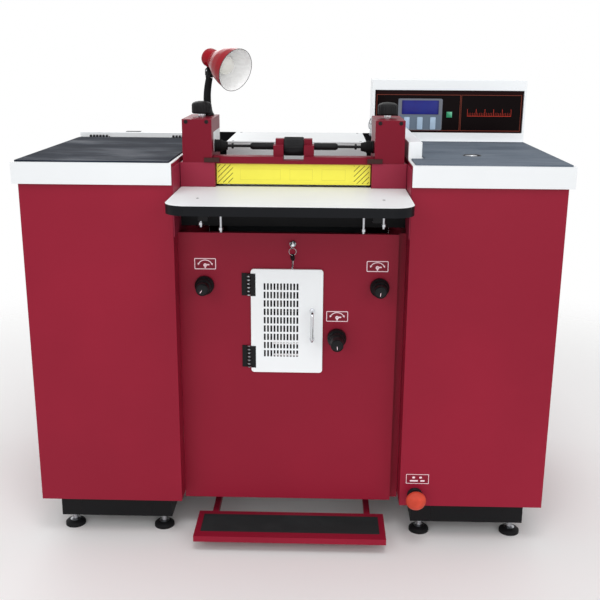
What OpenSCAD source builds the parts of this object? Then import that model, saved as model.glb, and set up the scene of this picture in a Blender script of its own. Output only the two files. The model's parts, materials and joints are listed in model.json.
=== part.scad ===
// Leather splitting machine with an endless band knife.
// Millimetres, +Z up. X runs across the machine, -Y faces the operator, the floor is Z = 0.
// Inside the modules Y = 0 is the front face of the white side tops; placed() moves it
// so that the origin lies on the floor under the middle of the machine.

/* [Overall] */
// Width over the two side tops
overall_w = 1500; // [1460:10:1560]
// Height of the side tops above the floor
top_z = 1120; // [1080:5:1180]
// Clear width between the two side cabinets
bay_w = 640; // [630:2:650]
// Thickness of the sheet steel
sheet = 3; // [2:0.5:4]
// Seat gap between pieces that are bolted together
seat = 0.3; // [0.2:0.05:0.4]
// Running clearance on the radius of shafts and pins
run = 0.05; // [0.02:0.01:0.09]

/* [Side cabinets] */
// How far the white tops overhang the cabinet sides
overhang = 15; // [8:1:25]
// Set-back of the red fronts behind the white tops
front_set = 8; // [4:1:12]
// Height of the cabinet floors above the ground
cab_z = 125; // [110:5:150]
// Height of the skirt round each white top
skirt_h = 58; // [40:1:70]
// Depth of the left top, from its front to its hinge
left_top_d = 693; // [670:1:720]
// Depth of the machine behind the left top
rear_d = 83; // [70:1:120]
// How much shorter the right top is than the left one
right_top_cut = 59; // [45:1:90]
// Thickness of the rubber mats
mat_t = 4; // [2:0.5:6]
// White border left round each mat
mat_border = 8; // [4:1:14]
// How far the white rear covers stand above the side tops
rear_step = 16; // [8:1:24]

/* [Base] */
// Height of the underside of the base frames
foot_h = 45; // [35:1:60]
// Width of the base frame tubes
tube_w = 60; // [40:5:80]
// Inset of the base frames from the cabinet sides
frame_inset = 40; // [20:5:60]
// Diameter of the levelling feet
foot_dia = 60; // [40:2:80]

/* [Throat] */
// Clear working width between the two throat blocks
throat_w = 438; // [420:2:450]
// Height of the feed table below the side tops
table_drop = 80; // [70:1:95]
// Front plane of the throat blocks and pillars
throat_y = 130; // [110:1:150]
// Depth of the throat blocks and pillars
pillar_d = 200; // [180:5:240]
// Width of a pillar
pillar_w = 82; // [70:1:84]
// Height of the pillars above the side tops
pillar_h = 106; // [90:1:130]
// Depth of the top of the throat blocks below the side tops
block_drop = 12; // [8:1:20]
// Height of the moving beam between the pillars
beam_h = 20; // [16:1:26]
// Height of the yellow guard
guard_h = 58; // [50:1:59]

/* [Feed table] */
// Width of the feed table
table_w = 628; // [600:2:628]
// How far the table stands out in front of the machine
table_out = 190; // [150:5:220]
// Thickness of the table board
table_t = 26; // [20:1:30]
// Radius of the two front corners of the table
table_r = 55; // [30:1:80]

/* [Knife and rollers] */
// Width of the band knife
knife_w = 50; // [40:1:55]
// Thickness of the band knife
knife_t = 1; // [0.8:0.1:1.4]
// Diameter of the two band wheels
wheel_dia = 380; // [360:2:390]
// Offset of each band wheel outwards from the middle of its cabinet
wheel_set = 2.5; // [-2:0.5:5]
// Diameter of the gauge roller above the leather
gauge_dia = 50; // [44:1:54]
// Diameter of the feed roller below the leather
feed_dia = 60; // [54:1:64]
// Gap between the rollers at rest
nip = 4; // [3:0.5:5]
// Distance of the roller line behind the block fronts
nip_set = 50; // [46:1:56]

/* [Thickness adjustment] */
// Height of the cross shaft above the side tops
shaft_up = 27.5; // [24:0.5:34]
// Distance of the cross shaft behind the block fronts
shaft_set = 70; // [60:1:80]
// Diameter of the middle hand wheel
hand_dia = 53; // [46:1:58]
// Length of the middle hand wheel
hand_l = 56; // [40:1:64]
// Diameter of the two knobs on the pillars
top_knob_dia = 57; // [44:1:62]
// Height of the two knobs on the pillars
top_knob_h = 34; // [26:1:42]

/* [Front panel] */
// Distance of the front panel behind the white tops
panel_y = 75; // [65:1:90]
// Height of the bottom edge of the front panel
panel_z = 106; // [100:1:120]
// Height of the top edge of the front panel
panel_top_z = 920; // [910:1:930]
// Position of the right edge of the front panel
panel_right = 297; // [290:1:300]
// Width of the vent door
door_w = 204; // [180:2:220]
// Height of the vent door
door_h = 306; // [290:2:320]
// Position of the left edge of the vent door
door_x = -116; // [-120:1:-112]
// Height of the bottom edge of the vent door
door_z = 513; // [505:1:520]
// Diameter of the front knobs
knob_dia = 54; // [44:1:60]
// Length of the two upper front knobs
knob_l = 62; // [50:1:70]
// Length of the lower front knob
low_knob_l = 83; // [70:1:95]

/* [Control housing] */
// Left side of the control housing
housing_x = 243; // [240:1:250]
// Distance of the control housing behind the right top
housing_set = 16; // [10:1:24]
// Height of the control housing above the side tops
housing_h = 200; // [190:1:220]
// Depth of the recess that holds the control panel
panel_recess = 8; // [5:1:12]

/* [Lamp] */
// Diameter of the mouth of the lamp shade
shade_dia = 122; // [110:1:126]
// Length of the lamp shade in front of its pivot
shade_l = 117; // [112:1:125]
// Diameter of the lamp neck at its foot
neck_dia = 23; // [18:1:24]

/* [Pedal] */
// Width of the foot pedal
pedal_w = 560; // [500:5:600]
// Depth of the foot pedal
pedal_d = 150; // [130:5:160]
// Height of the top of the foot pedal
pedal_z = 55; // [50:1:62]

/* [Hidden] */
$fn = 64;

// Colours of the real machine
RED = [0.50, 0.08, 0.16];
WHITE = [0.93, 0.94, 0.95];
BLACK = [0.08, 0.08, 0.09];
STEEL = [0.62, 0.63, 0.65];
MAT = [0.17, 0.20, 0.24];

// Overall planes
lid_x = overall_w / 2;
cab_x = lid_x - overhang;
bay_x = bay_w / 2;
body_d = left_top_d + rear_d;
right_top_d = left_top_d - right_top_cut;
housing_y = right_top_d + housing_set;
wheel_x = (bay_x + cab_x) / 2 + wheel_set;
origin_y = (table_out - body_d) / 2;
shell_top = top_z - sheet - seat;
wall_y0 = front_set + sheet + seat;
wall_y1 = body_d - sheet - seat;
floor_y = body_d - sheet;
lid_gap = 4;

// Throat planes
block_x = throat_w / 2;
pillar_x = block_x + 7;
block_top = top_z - block_drop;
table_z = top_z - table_drop;
pillar_top = top_z + pillar_h;
pillar_y1 = throat_y + pillar_d;
nip_y = throat_y + nip_set;
feed_r = feed_dia / 2;
gauge_r = gauge_dia / 2;
feed_top = table_z + 0.5;
feed_z = feed_top - feed_r;
gauge_z = feed_top + nip + gauge_r;
knife_mid = feed_top + nip / 2;
knife_y = nip_y + 8;
knife_y1 = knife_y + knife_w;
wheel_r = wheel_dia / 2;
band_r = wheel_r + seat;
wheel_z = knife_mid - knife_t / 2 - band_r;
wheel_y0 = knife_y + 2;
wheel_y1 = knife_y1 - 2;
bed_top = table_z - 2 - seat;
bed_z = bed_top - 108;
cheek_z = table_z - 120;
beam_x = pillar_x - 0.7;
beam_y = throat_y + 10;
beam_d = 45;
beam_z = block_top - 4;
beam_top = beam_z + beam_h;
guard_y = throat_y + 20;
shaft_z = top_z + shaft_up;
shaft_y = throat_y + shaft_set;
knob_y = throat_y + pillar_d / 2;
knob_x = pillar_x + pillar_w / 2 - 2;

// ---------- drawing helpers ----------

// A block given by its two corners
module slab(x0, x1, y0, y1, z0, z1) {
    translate([x0, y0, z0]) cube([x1 - x0, y1 - y0, z1 - z0]);
}

// Round bars along each axis
module bar_x(x0, x1, y, z, r) {
    translate([x0, y, z]) rotate([0, 90, 0]) cylinder(h = x1 - x0, r = r);
}
module bar_y(x, y0, y1, z, r) {
    translate([x, y0, z]) rotate([-90, 0, 0]) cylinder(h = y1 - y0, r = r);
}
module bar_z(x, y, z0, z1, r) {
    translate([x, y, z0]) cylinder(h = z1 - z0, r = r);
}

// A turned piece whose axis points to the operator; the profile is [radius, distance] pairs
module turned_front(x, y, z, profile) {
    translate([x, y, z]) rotate([90, 0, 0]) rotate_extrude() polygon(profile);
}

// Rectangle with round corners, centred
module round_rect(w, h, r) {
    square([w - 2 * r, h], center = true);
    square([w, h - 2 * r], center = true);
    for (sx = [-1, 1], sy = [-1, 1])
        translate([sx * (w / 2 - r), sy * (h / 2 - r)]) circle(r);
}

// Upright plate facing the operator with round corners
module round_plate(x0, x1, y0, y1, z0, z1, r) {
    translate([(x0 + x1) / 2, y1, (z0 + z1) / 2]) rotate([90, 0, 0])
        linear_extrude(y1 - y0) round_rect(x1 - x0, z1 - z0, r);
}

// The same piece on both sides of the machine
module both_sides() {
    children();
    mirror([1, 0, 0]) children();
}
module left_side() {
    mirror([1, 0, 0]) children();
}

// From the working frame to the part's own frame
module placed() {
    translate([0, origin_y, 0]) children();
}

// ---------- base ----------
frame_x0 = bay_x + frame_inset;
frame_x1 = cab_x - frame_inset;
frame_y0 = 60;
frame_y1 = body_d - 50;
frame_top = cab_z - seat;
cross_y = 330;
pivot_y = cross_y - 22;
pivot_z = foot_h + 46;
pedal_arm_x = 222;
pedal_arm_w = 18;
foot_x0 = frame_x0 + tube_w / 2;
foot_x1 = frame_x1 - tube_w / 2;
foot_y0 = frame_y0 + tube_w / 2;
foot_y1 = frame_y1 - tube_w / 2;

// Two welded tube frames under the cabinets, tied by cross members set far back
module base_frame() {
    color(BLACK) placed() {
        both_sides() {
            for (x = [frame_x0, frame_x1 - tube_w])
                slab(x, x + tube_w, frame_y0, frame_y1, foot_h, frame_top);
            for (y = [frame_y0, frame_y1 - tube_w])
                slab(frame_x0 + tube_w + seat, frame_x1 - tube_w - seat,
                    y, y + tube_w, foot_h, frame_top);
        }
        for (y = [cross_y, frame_y1 - tube_w])
            slab(-frame_x0 + seat, frame_x0 - seat, y, y + tube_w, foot_h + 20, frame_top);
        both_sides() {
            for (x = [pedal_arm_x - 12, pedal_arm_x + pedal_arm_w + 4])
                slab(x, x + 8, pivot_y - 14, cross_y - seat, pivot_z - 14, pivot_z + 14);
            bar_x(pedal_arm_x - 6, pedal_arm_x + pedal_arm_w + 6, pivot_y, pivot_z, 8);
        }
    }
}

// Levelling feet: pad, cone and threaded stem with its nut
module levelling_foot(x, y) {
    pad_r = foot_dia / 2;
    stem_r = 8;
    translate([x, y, 0]) rotate_extrude() polygon([
        [0, 0], [pad_r, 0], [pad_r, 8], [pad_r - 4, 12], [stem_r + 4, 18],
        [stem_r, 20], [stem_r, foot_h - 10], [stem_r + 7, foot_h - 10],
        [stem_r + 7, foot_h], [0, foot_h]]);
}
module levelling_feet() {
    color(BLACK) placed() both_sides()
        for (x = [foot_x0, foot_x1], y = [foot_y0, foot_y1]) levelling_foot(x, y);
}

// ---------- cabinets ----------
slot_y0 = knife_y - 8;
slot_y1 = knife_y1 + 8;
louvre_w = 180;
louvre_h = 8;
louvre_pitch = 22;
louvre_count = 9;
louvre_z = cab_z + 170;

// Row of long round-ended air slots in a rear wall
module louvres(x, y) {
    for (i = [0 : louvre_count - 1])
        round_plate(x - louvre_w / 2, x + louvre_w / 2, y - 1, y + sheet + 1,
            louvre_z + i * louvre_pitch, louvre_z + i * louvre_pitch + louvre_h,
            louvre_h / 2 - 0.01);
}

// One cabinet drawn on the right: five bolted sheets, with slots where the band knife passes
module cabinet_sheets() {
    slab(cab_x - sheet, cab_x, wall_y0, wall_y1, cab_z, shell_top);
    slab(bay_x, cab_x, front_set, front_set + sheet, cab_z, shell_top);
    difference() {
        slab(bay_x, bay_x + sheet, wall_y0, wall_y1, cab_z, shell_top);
        for (z = [knife_mid, knife_mid - 2 * band_r - knife_t])
            slab(bay_x - 1, bay_x + sheet + 1, slot_y0, slot_y1, z - 12, z + 12);
    }
    slab(bay_x + sheet + seat, cab_x - sheet - seat, wall_y0, wall_y1, cab_z, cab_z + sheet);
    difference() {
        slab(bay_x, cab_x, floor_y, body_d, cab_z, shell_top);
        louvres((bay_x + cab_x) / 2, floor_y);
    }
}
module left_cabinet() {
    color(RED) placed() left_side() cabinet_sheets();
}

// Position of the two hidden hinge pins of the right top
pin_y = right_top_d - 26;
pin_z = top_z - 25;
pin_r = 6;
tail_r = 40;
lug_t = 8;
duct_w = 38;
duct_h = 47;
duct_y = throat_y + 14;
duct_x1 = bay_x + duct_w;
notch_x = duct_x1 + 4;
gland_x = bay_x + 180;
gland_y = frame_y1 - tube_w - 50;

// The right cabinet also carries the filler strip beside the front panel, the two hinge pins
// of its top and the inlet gland under its floor; its outer sheet is cut away where the tail
// of the opening top swings down
module right_cabinet() {
    color(RED) placed() {
        difference() {
            cabinet_sheets();
            bar_z(gland_x, gland_y, cab_z - 1, cab_z + sheet + 1, 12.5);
            slab(cab_x - sheet - 1, cab_x + 1, pin_y - 4, pin_y + tail_r,
                pin_z + 19, shell_top + 1);
            slab(cab_x - sheet - 1, cab_x + 1, pin_y + 10, pin_y + tail_r,
                pin_z - 24, pin_z + 20);
        }
        slab(panel_right + seat, bay_x - seat, panel_y + 20 + seat, panel_y + 23, panel_z, cheek_z);
        bar_x(cab_x - sheet - seat - 14, cab_x - sheet - seat, pin_y, pin_z, pin_r);
        bar_x(bay_x + sheet + seat, notch_x + lug_t + 4, pin_y, pin_z, pin_r);
        translate([gland_x, gland_y, 0]) rotate_extrude() polygon([
            [4, cab_z - 26], [9, cab_z - 26], [12, cab_z - 18], [12, cab_z - 12],
            [16, cab_z - 12], [16, cab_z - seat], [12, cab_z - seat], [12, cab_z + 14],
            [4, cab_z + 14]]);
    }
}

// ---------- rear centre panel with the outlet slot ----------
outlet_z0 = table_z - 92;
outlet_z1 = table_z + 14;
rear_skin_top = top_z - seat;
module rear_panel() {
    color(RED) placed() difference() {
        slab(-bay_x + seat, bay_x - seat, floor_y, body_d, cab_z - 15, rear_skin_top);
        slab(-block_x, block_x, floor_y - 1, body_d + 1, outlet_z0, outlet_z1);
        for (i = [0 : louvre_count - 1])
            round_plate(-louvre_w / 2, louvre_w / 2, floor_y - 1, body_d + 1,
                louvre_z + i * louvre_pitch, louvre_z + i * louvre_pitch + louvre_h,
                louvre_h / 2 - 0.01);
    }
}

// ---------- bed, blocks and pillars ----------
bed_y1 = knife_y1 + 24;
rest_y = nip_y + feed_r + 12;
rest_z = bed_top - 62;
apron_y = throat_y - 2;
apron_t = 6;
journal_r = 10;
journal_l = 42;

// Cast bed: two end cheeks with the bearings of the feed roller, joined by the front apron
// and by the bar that backs the knife guide
module bed_casting() {
    color(BLACK) placed() difference() {
        union() {
            both_sides() slab(block_x - seat, bay_x - seat, apron_y, bed_y1, bed_z, bed_top);
            slab(-block_x, block_x, apron_y, apron_y + apron_t, bed_z, feed_z);
            slab(-block_x, block_x, rest_y, bed_y1, rest_z, bed_top - 4);
        }
        both_sides() bar_x(block_x - 1, block_x + journal_l, nip_y, feed_z, journal_r + run);
    }
}

// Throat block: a machined block over the knife, and a thin cheek that closes the side
cheek_t = 3;
module throat_block() {
    difference() {
        slab(block_x, bay_x - 4, throat_y, pillar_y1, table_z - 2, block_top);
        slab(block_x - 1, bay_x, slot_y0, slot_y1, table_z - 3, knife_mid + 8);
    }
    slab(bay_x - seat - cheek_t, bay_x - seat, front_set + 1, apron_y - seat,
        cheek_z + seat, block_top);
}
module left_block() {
    color(RED) placed() left_side() throat_block();
}
module right_block() {
    color(RED) placed() throat_block();
}

// Pillar with the notch of its gib bar, the bore of its knob stem and chamfered top edges
gib_w = 42;
gib_h = 12;
gib_z = beam_top - 3 - gib_h;
stem_r = 7;
stem_l = 60;
pillar_cut = 3;
module pillar() {
    difference() {
        translate([pillar_x, throat_y, block_top + seat])
            cube([pillar_w, pillar_d, pillar_top - block_top - seat]);
        slab(pillar_x - 1, pillar_x + gib_w - 20, throat_y - 1, beam_y, gib_z - seat, gib_z + gib_h + seat);
        bar_z(knob_x, knob_y, pillar_top - stem_l, pillar_top + 1, stem_r + run);
        for (y = [throat_y, pillar_y1])
            translate([pillar_x - 1, y, pillar_top]) rotate([45, 0, 0])
                cube([pillar_w + 2, pillar_cut, pillar_cut], center = false);
    }
}
module left_pillar() {
    color(RED) placed() left_side() pillar();
}
module right_pillar() {
    color(RED) placed() pillar();
}

// Gib bars: they lie in the pillar notches and keep the beam back
module gib_bars() {
    color(BLACK) placed() both_sides()
        slab(pillar_x - 20, pillar_x + gib_w - 20 - seat, throat_y - 4, beam_y - seat,
            gib_z, gib_z + gib_h);
}

// ---------- feed table ----------
module feed_table() {
    front = -table_out;
    back = apron_y - seat;
    tongue = nip_y - feed_r - 5;
    color(WHITE) placed() translate([0, 0, table_z - table_t]) linear_extrude(table_t) {
        translate([-table_w / 2, front + table_r]) square([table_w, back - front - table_r]);
        translate([-table_w / 2 + table_r, front]) square([table_w - 2 * table_r, table_r + 1]);
        for (s = [-1, 1])
            translate([s * (table_w / 2 - table_r), front + table_r]) circle(table_r);
        translate([-block_x + 1, back - 1]) square([throat_w - 2, tongue - back + 1]);
    }
}

// Arms that carry the table from the bed, and the levelling studs with their nuts
arm_x = 225;
arm_w = 24;
arm_h = 20;
arm_z1 = table_z - table_t - 9;
plate_y = 60;
module stud(x, z0) {
    bar_z(x, plate_y, z0, table_z - table_t - seat, 4);
    translate([x, plate_y, z0 + 6]) cylinder(h = 7, r = 7.5, $fn = 6);
}
module table_brackets() {
    inner = arm_x - arm_w / 2;
    outer = arm_x + arm_w / 2;
    color(STEEL) placed() both_sides() {
        slab(inner, outer, -table_out + 90, apron_y - seat, arm_z1 - arm_h, arm_z1);
        slab(inner, outer, -table_out + 90, -table_out + 150, arm_z1 + seat, table_z - table_t - seat);
        slab(inner - 26, inner - seat, plate_y - 14, plate_y + 14, arm_z1 - 6, arm_z1);
        slab(outer + seat, outer + 28, plate_y - 14, plate_y + 14, arm_z1 - 6, arm_z1);
        stud(inner - 16, table_z - 115);
        stud(outer + 15, table_z - 101);
    }
}

// ---------- covers behind the throat ----------
cover_set = 315;
cover_y = throat_y + cover_set;
cover_x = block_x;
cover_h = 74;
well_drop = 30;
module rear_cover() {
    color(WHITE) placed() {
        slab(-cover_x, cover_x, cover_y, body_d, top_z + rear_step - sheet, top_z + rear_step);
        slab(-cover_x, cover_x, cover_y, cover_y + sheet,
            top_z + rear_step - cover_h, top_z + rear_step - sheet - seat);
        slab(-cover_x, cover_x, floor_y, body_d, top_z, top_z + rear_step - sheet - seat);
    }
}

// Black covers beside the white one; the right one leaves room for the control housing
well_x = cover_x + seat;
module well_covers() {
    color(BLACK) placed() {
        slab(-bay_x + seat, -well_x, cover_y, body_d, top_z + rear_step - sheet, top_z + rear_step);
        slab(-bay_x + seat, -well_x, cover_y, cover_y + sheet, top_z - well_drop,
            top_z + rear_step - sheet - seat);
        slab(-bay_x + seat, -well_x, floor_y, body_d, top_z, top_z + rear_step - sheet - seat);
        slab(well_x, bay_x - seat, cover_y, housing_y - seat,
            top_z + rear_step - sheet, top_z + rear_step);
        slab(well_x, bay_x - seat, cover_y, cover_y + sheet, top_z - well_drop,
            top_z + rear_step - sheet - seat);
        slab(well_x, housing_x - seat, housing_y, body_d,
            top_z + rear_step - sheet, top_z + rear_step);
    }
}

// ---------- white housing behind the left top ----------
left_deck_y = left_top_d + lid_gap;
hinge_leaf = 20;
left_step_y = left_deck_y + hinge_leaf + 2;
module left_rear_housing() {
    color(WHITE) placed() left_side() difference() {
        union() {
            slab(bay_x, lid_x, left_deck_y, body_d, top_z - sheet, top_z);
            slab(lid_x - 2, lid_x, left_deck_y + 1, body_d, top_z - skirt_h, top_z);
            slab(bay_x, lid_x, left_step_y, body_d, top_z - 1, top_z + rear_step);
        }
        slab(bay_x + sheet, lid_x - sheet, left_step_y + sheet, body_d - sheet,
            top_z - 2 * sheet, top_z + rear_step - sheet);
    }
}

// ---------- control housing with its deck and the cable duct ----------
housing_x1 = lid_x - 3;
housing_top = top_z + housing_h;
recess_x0 = housing_x + 9;
recess_x1 = housing_x1 - 7;
recess_z0 = top_z + 30;
recess_z1 = housing_top - 33;
deck_y = right_top_d + 6;
panel_face = housing_y + panel_recess;
start_x = recess_x0 + 246;
start_z = recess_z0 + 59;
start_w = 18;
module control_housing() {
    wall = 4;
    color(WHITE) placed() {
        difference() {
            slab(housing_x, housing_x1, housing_y, body_d, top_z, housing_top);
            slab(recess_x0, recess_x1, housing_y - 1, panel_face + 12, recess_z0, recess_z1);
            slab(housing_x + wall, housing_x1 - wall, panel_face + 16, body_d - wall,
                top_z - 1, housing_top - wall);
            slab(start_x - 14, start_x + 14, panel_face, panel_face + 20,
                start_z - 14, start_z + 14);
        }
        slab(bay_x, lid_x - 2 - seat, deck_y, body_d, top_z - sheet, top_z - seat);
        slab(lid_x - 2, lid_x, deck_y + 6, body_d, top_z - skirt_h, top_z - seat);
        slab(bay_x, duct_x1, duct_y - 2, deck_y - seat, top_z - sheet, top_z);
        slab(bay_x, duct_x1, duct_y, housing_y - seat, top_z + seat, top_z + duct_h);
    }
}

// Dark glossy control panel set into the recess, with the square hole of the start button
module control_panel() {
    t = 4;
    color(BLACK) placed() difference() {
        slab(recess_x0 + seat, recess_x1 - seat, panel_face, panel_face + t,
            recess_z0 + seat, recess_z1 - seat);
        slab(start_x - start_w / 2 - seat, start_x + start_w / 2 + seat, panel_face - 1,
            panel_face + t + 1, start_z - start_w / 2 - seat, start_z + start_w / 2 + seat);
    }
}

// Display unit: a bezel with round corners, its sunk screen and three raised keys
unit_x = recess_x0 + 150;
unit_w = 145;
unit_z = recess_z0 + 59;
unit_h = 102;
unit_t = 5;
module display_unit() {
    face = panel_face - unit_t;
    color(STEEL) placed() {
        difference() {
            round_plate(unit_x - unit_w / 2, unit_x + unit_w / 2, face, panel_face - seat,
                unit_z - unit_h / 2, unit_z + unit_h / 2, 5);
            slab(unit_x - 61, unit_x + 61, face - 1, face + 1.5, unit_z + 1, unit_z + 45);
        }
        for (x = [-45, 0, 45])
            round_plate(unit_x + x - 11.5, unit_x + x + 11.5, face - 1, face + 0.5,
                unit_z - 49, unit_z - 9, 2);
    }
}
module start_button() {
    color([0.15, 0.65, 0.4]) placed() {
        slab(start_x - start_w / 2, start_x + start_w / 2, panel_face - 6, panel_face + 8,
            start_z - start_w / 2, start_z + start_w / 2);
        slab(start_x - start_w / 2 - 2, start_x + start_w / 2 + 2, panel_face + 4 + seat,
            panel_face + 8, start_z - start_w / 2 - 2, start_z + start_w / 2 + 2);
    }
}

// ---------- hinges ----------
knuckle_r = 5;
hinge_pin_r = 2;
hinge_l = 65;
leaf_t = 3;
knuckles = 6;
knuckle_l = hinge_l / knuckles;
knuckle_gap = 0.4;

// Half of a butt hinge along X, its pin on the X axis and its leaf towards +Y at leaf level z
module hinge_half(first, leaf_z, with_pin) {
    for (i = [first : 2 : knuckles - 1]) difference() {
        union() {
            bar_x(i * knuckle_l + knuckle_gap, (i + 1) * knuckle_l - knuckle_gap, 0, 0, knuckle_r);
            slab(i * knuckle_l + knuckle_gap, (i + 1) * knuckle_l - knuckle_gap,
                0, knuckle_r + 2, leaf_z, leaf_z + leaf_t);
        }
        if (!with_pin) bar_x(-1, hinge_l + 1, 0, 0, hinge_pin_r + run);
    }
    slab(0, hinge_l, knuckle_r + 1, hinge_leaf, leaf_z, leaf_z + leaf_t);
    if (with_pin) bar_x(0, hinge_l, 0, 0, hinge_pin_r);
}
lid_hinge_y = left_top_d + lid_gap / 2;
lid_hinge_z = top_z + knuckle_r;
lid_hinge_x = [bay_x + 46, lid_x - 103];
door_hinge_x = door_x - 6;
door_hinge_y = panel_y - seat - knuckle_r;
door_hinge_z = [door_z + 14, door_z + door_h - 78];

// Fixed halves of the left top's hinges and of the vent door's hinges, with their pins
module hinge_leaves() {
    color(BLACK) placed() {
        left_side() for (x = lid_hinge_x)
            translate([x, lid_hinge_y, lid_hinge_z]) hinge_half(0, -knuckle_r + seat, true);
        for (z = door_hinge_z) translate([door_hinge_x, door_hinge_y, z]) {
            bar_z(0, 0, 0, hinge_l, hinge_pin_r);
            for (i = [0 : 2 : knuckles - 1]) {
                z0 = i * knuckle_l + knuckle_gap;
                bar_z(0, 0, z0, z0 + knuckle_l - 2 * knuckle_gap, knuckle_r);
                slab(-knuckle_r - 2, 0, knuckle_r - leaf_t, knuckle_r, z0,
                    z0 + knuckle_l - 2 * knuckle_gap);
            }
            slab(-hinge_leaf, -knuckle_r - 1, knuckle_r - leaf_t, knuckle_r, 0, hinge_l);
        }
    }
}

// ---------- emergency stop ----------
stop_x = bay_x + 44;
stop_z = cab_z + 36;
stop_r = 29.5;
module e_stop_base() {
    color(BLACK) placed() difference() {
        turned_front(stop_x, front_set - seat, stop_z,
            [[0, 0], [22, 0], [22, 4], [19, 8], [19, 24], [0, 24]]);
        bar_y(stop_x, front_set - 30, front_set - 6, stop_z, 8 + run);
    }
}
module e_stop_button() {
    color([0.78, 0.20, 0.14]) placed() turned_front(stop_x, front_set - 12, stop_z, [
        [0, 0], [8, 0], [8, 17], [18, 18], [stop_r - 2, 22], [stop_r, 27], [stop_r - 2, 33],
        [stop_r - 9, 39], [12, 42.5], [0, 43.5]]);
}

// ---------- knife ----------
// Endless band: two straight runs and two half turns, with a thinner ground edge in front
module band_ring(inner, outer) {
    difference() {
        union() {
            for (s = [-1, 1]) translate([s * wheel_x, wheel_z]) circle(outer, $fn = 128);
            translate([-wheel_x, wheel_z - outer]) square([2 * wheel_x, 2 * outer]);
        }
        for (s = [-1, 1]) translate([s * wheel_x, wheel_z]) circle(inner, $fn = 128);
        translate([-wheel_x, wheel_z - inner]) square([2 * wheel_x, 2 * inner]);
    }
}
module band_knife() {
    edge = 3;
    color(STEEL) placed() {
        translate([0, knife_y1, 0]) rotate([90, 0, 0]) linear_extrude(knife_w - edge)
            band_ring(band_r, band_r + knife_t);
        translate([0, knife_y + edge, 0]) rotate([90, 0, 0]) linear_extrude(edge)
            band_ring(band_r + knife_t * 0.35, band_r + knife_t * 0.65);
    }
}

// Guide jaws that hold the band flat behind the rollers
jaw_gap = seat;
module knife_guides() {
    knife_top = knife_mid + knife_t / 2;
    knife_low = knife_mid - knife_t / 2;
    color(STEEL) placed() {
        slab(-block_x + 1, block_x - 1, knife_y + 16, bed_y1, bed_top - 4 + seat, knife_low - jaw_gap);
        slab(-block_x + 1, block_x - 1, knife_y1 + 1, bed_y1, knife_low - jaw_gap + seat,
            knife_top + jaw_gap);
        slab(-block_x + 1, block_x - 1, knife_y + 20, bed_y1, knife_top + jaw_gap + seat,
            knife_top + 9);
    }
}

// ---------- band wheels ----------
hub_r = 48;
axle_r = 20;
rim_t = 16;
belt_wheel_r = 118;
pulley_w = 22;
// Rim and spider of a band wheel: the rim is shrunk on a bored hub with a web of six holes
module wheel_rim() {
    difference() {
        bar_y(wheel_x, wheel_y0, wheel_y1, wheel_z, wheel_r);
        bar_y(wheel_x, wheel_y0 - 1, wheel_y1 + 1, wheel_z, wheel_r - rim_t);
    }
}
module wheel_spider() {
    middle = (wheel_y0 + wheel_y1) / 2;
    web = 14;
    holes = 6;
    difference() {
        union() {
            bar_y(wheel_x, middle - web / 2, middle + web / 2, wheel_z, wheel_r - rim_t - seat);
            bar_y(wheel_x, wheel_y0, wheel_y1, wheel_z, hub_r);
        }
        for (i = [0 : holes - 1])
            translate([wheel_x, 0, wheel_z]) rotate([0, 360 / holes * i, 0])
                bar_y((wheel_r - rim_t + hub_r) / 2, wheel_y0 - 1, wheel_y1 + 1, 0, 30);
        bar_y(wheel_x, wheel_y0 - 1, wheel_y1 + 1, wheel_z, axle_r + run);
    }
}
module left_band_wheel() {
    color(STEEL) placed() left_side() {
        wheel_rim();
        wheel_spider();
    }
}

// The right wheel has the grooved rim that the motor drives
groove_y0 = wheel_y1;
module right_band_wheel() {
    color(STEEL) placed() {
        wheel_rim();
        difference() {
            union() {
                wheel_spider();
                bar_y(wheel_x, groove_y0 - 1, groove_y0 + pulley_w, wheel_z, belt_wheel_r);
            }
            translate([wheel_x, groove_y0 + pulley_w / 2, wheel_z]) rotate([90, 0, 0])
                belt_groove(belt_wheel_r);
            bar_y(wheel_x, wheel_y0 - 1, groove_y0 + pulley_w + 1, wheel_z, axle_r + run);
        }
    }
}
// V groove as a turned ring, its middle at the origin
belt_t = 10;
module belt_groove(r) {
    rotate_extrude($fn = 128) polygon([
        [r - belt_t - 2, -4], [r + 1, -7.5], [r + 1, 7.5], [r - belt_t - 2, 4]]);
}

// Axles with their bearing blocks on columns that stand on the cabinet floors
column_w = 130;
column_y0 = groove_y0 + pulley_w + 12;
column_d = 100;
module wheel_axles() {
    plate = 18;
    color(STEEL) placed() both_sides() {
        bar_y(wheel_x, wheel_y0 - 12, column_y0 + column_d + 10, wheel_z, axle_r);
        bar_y(wheel_x, wheel_y0 - 24, wheel_y0 - 1, wheel_z, axle_r + 8);
        slab(wheel_x - column_w / 2, wheel_x + column_w / 2, column_y0,
            column_y0 + column_d, wheel_z - 60, wheel_z + 60);
        slab(wheel_x - 16, wheel_x + column_w / 2, column_y0 + column_d - plate,
            column_y0 + column_d, cab_z + sheet + seat, wheel_z - 59);
        slab(wheel_x - plate / 2, wheel_x + plate / 2, column_y0, column_y0 + column_d - 1,
            cab_z + sheet + seat, wheel_z - 59);
    }
}

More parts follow.
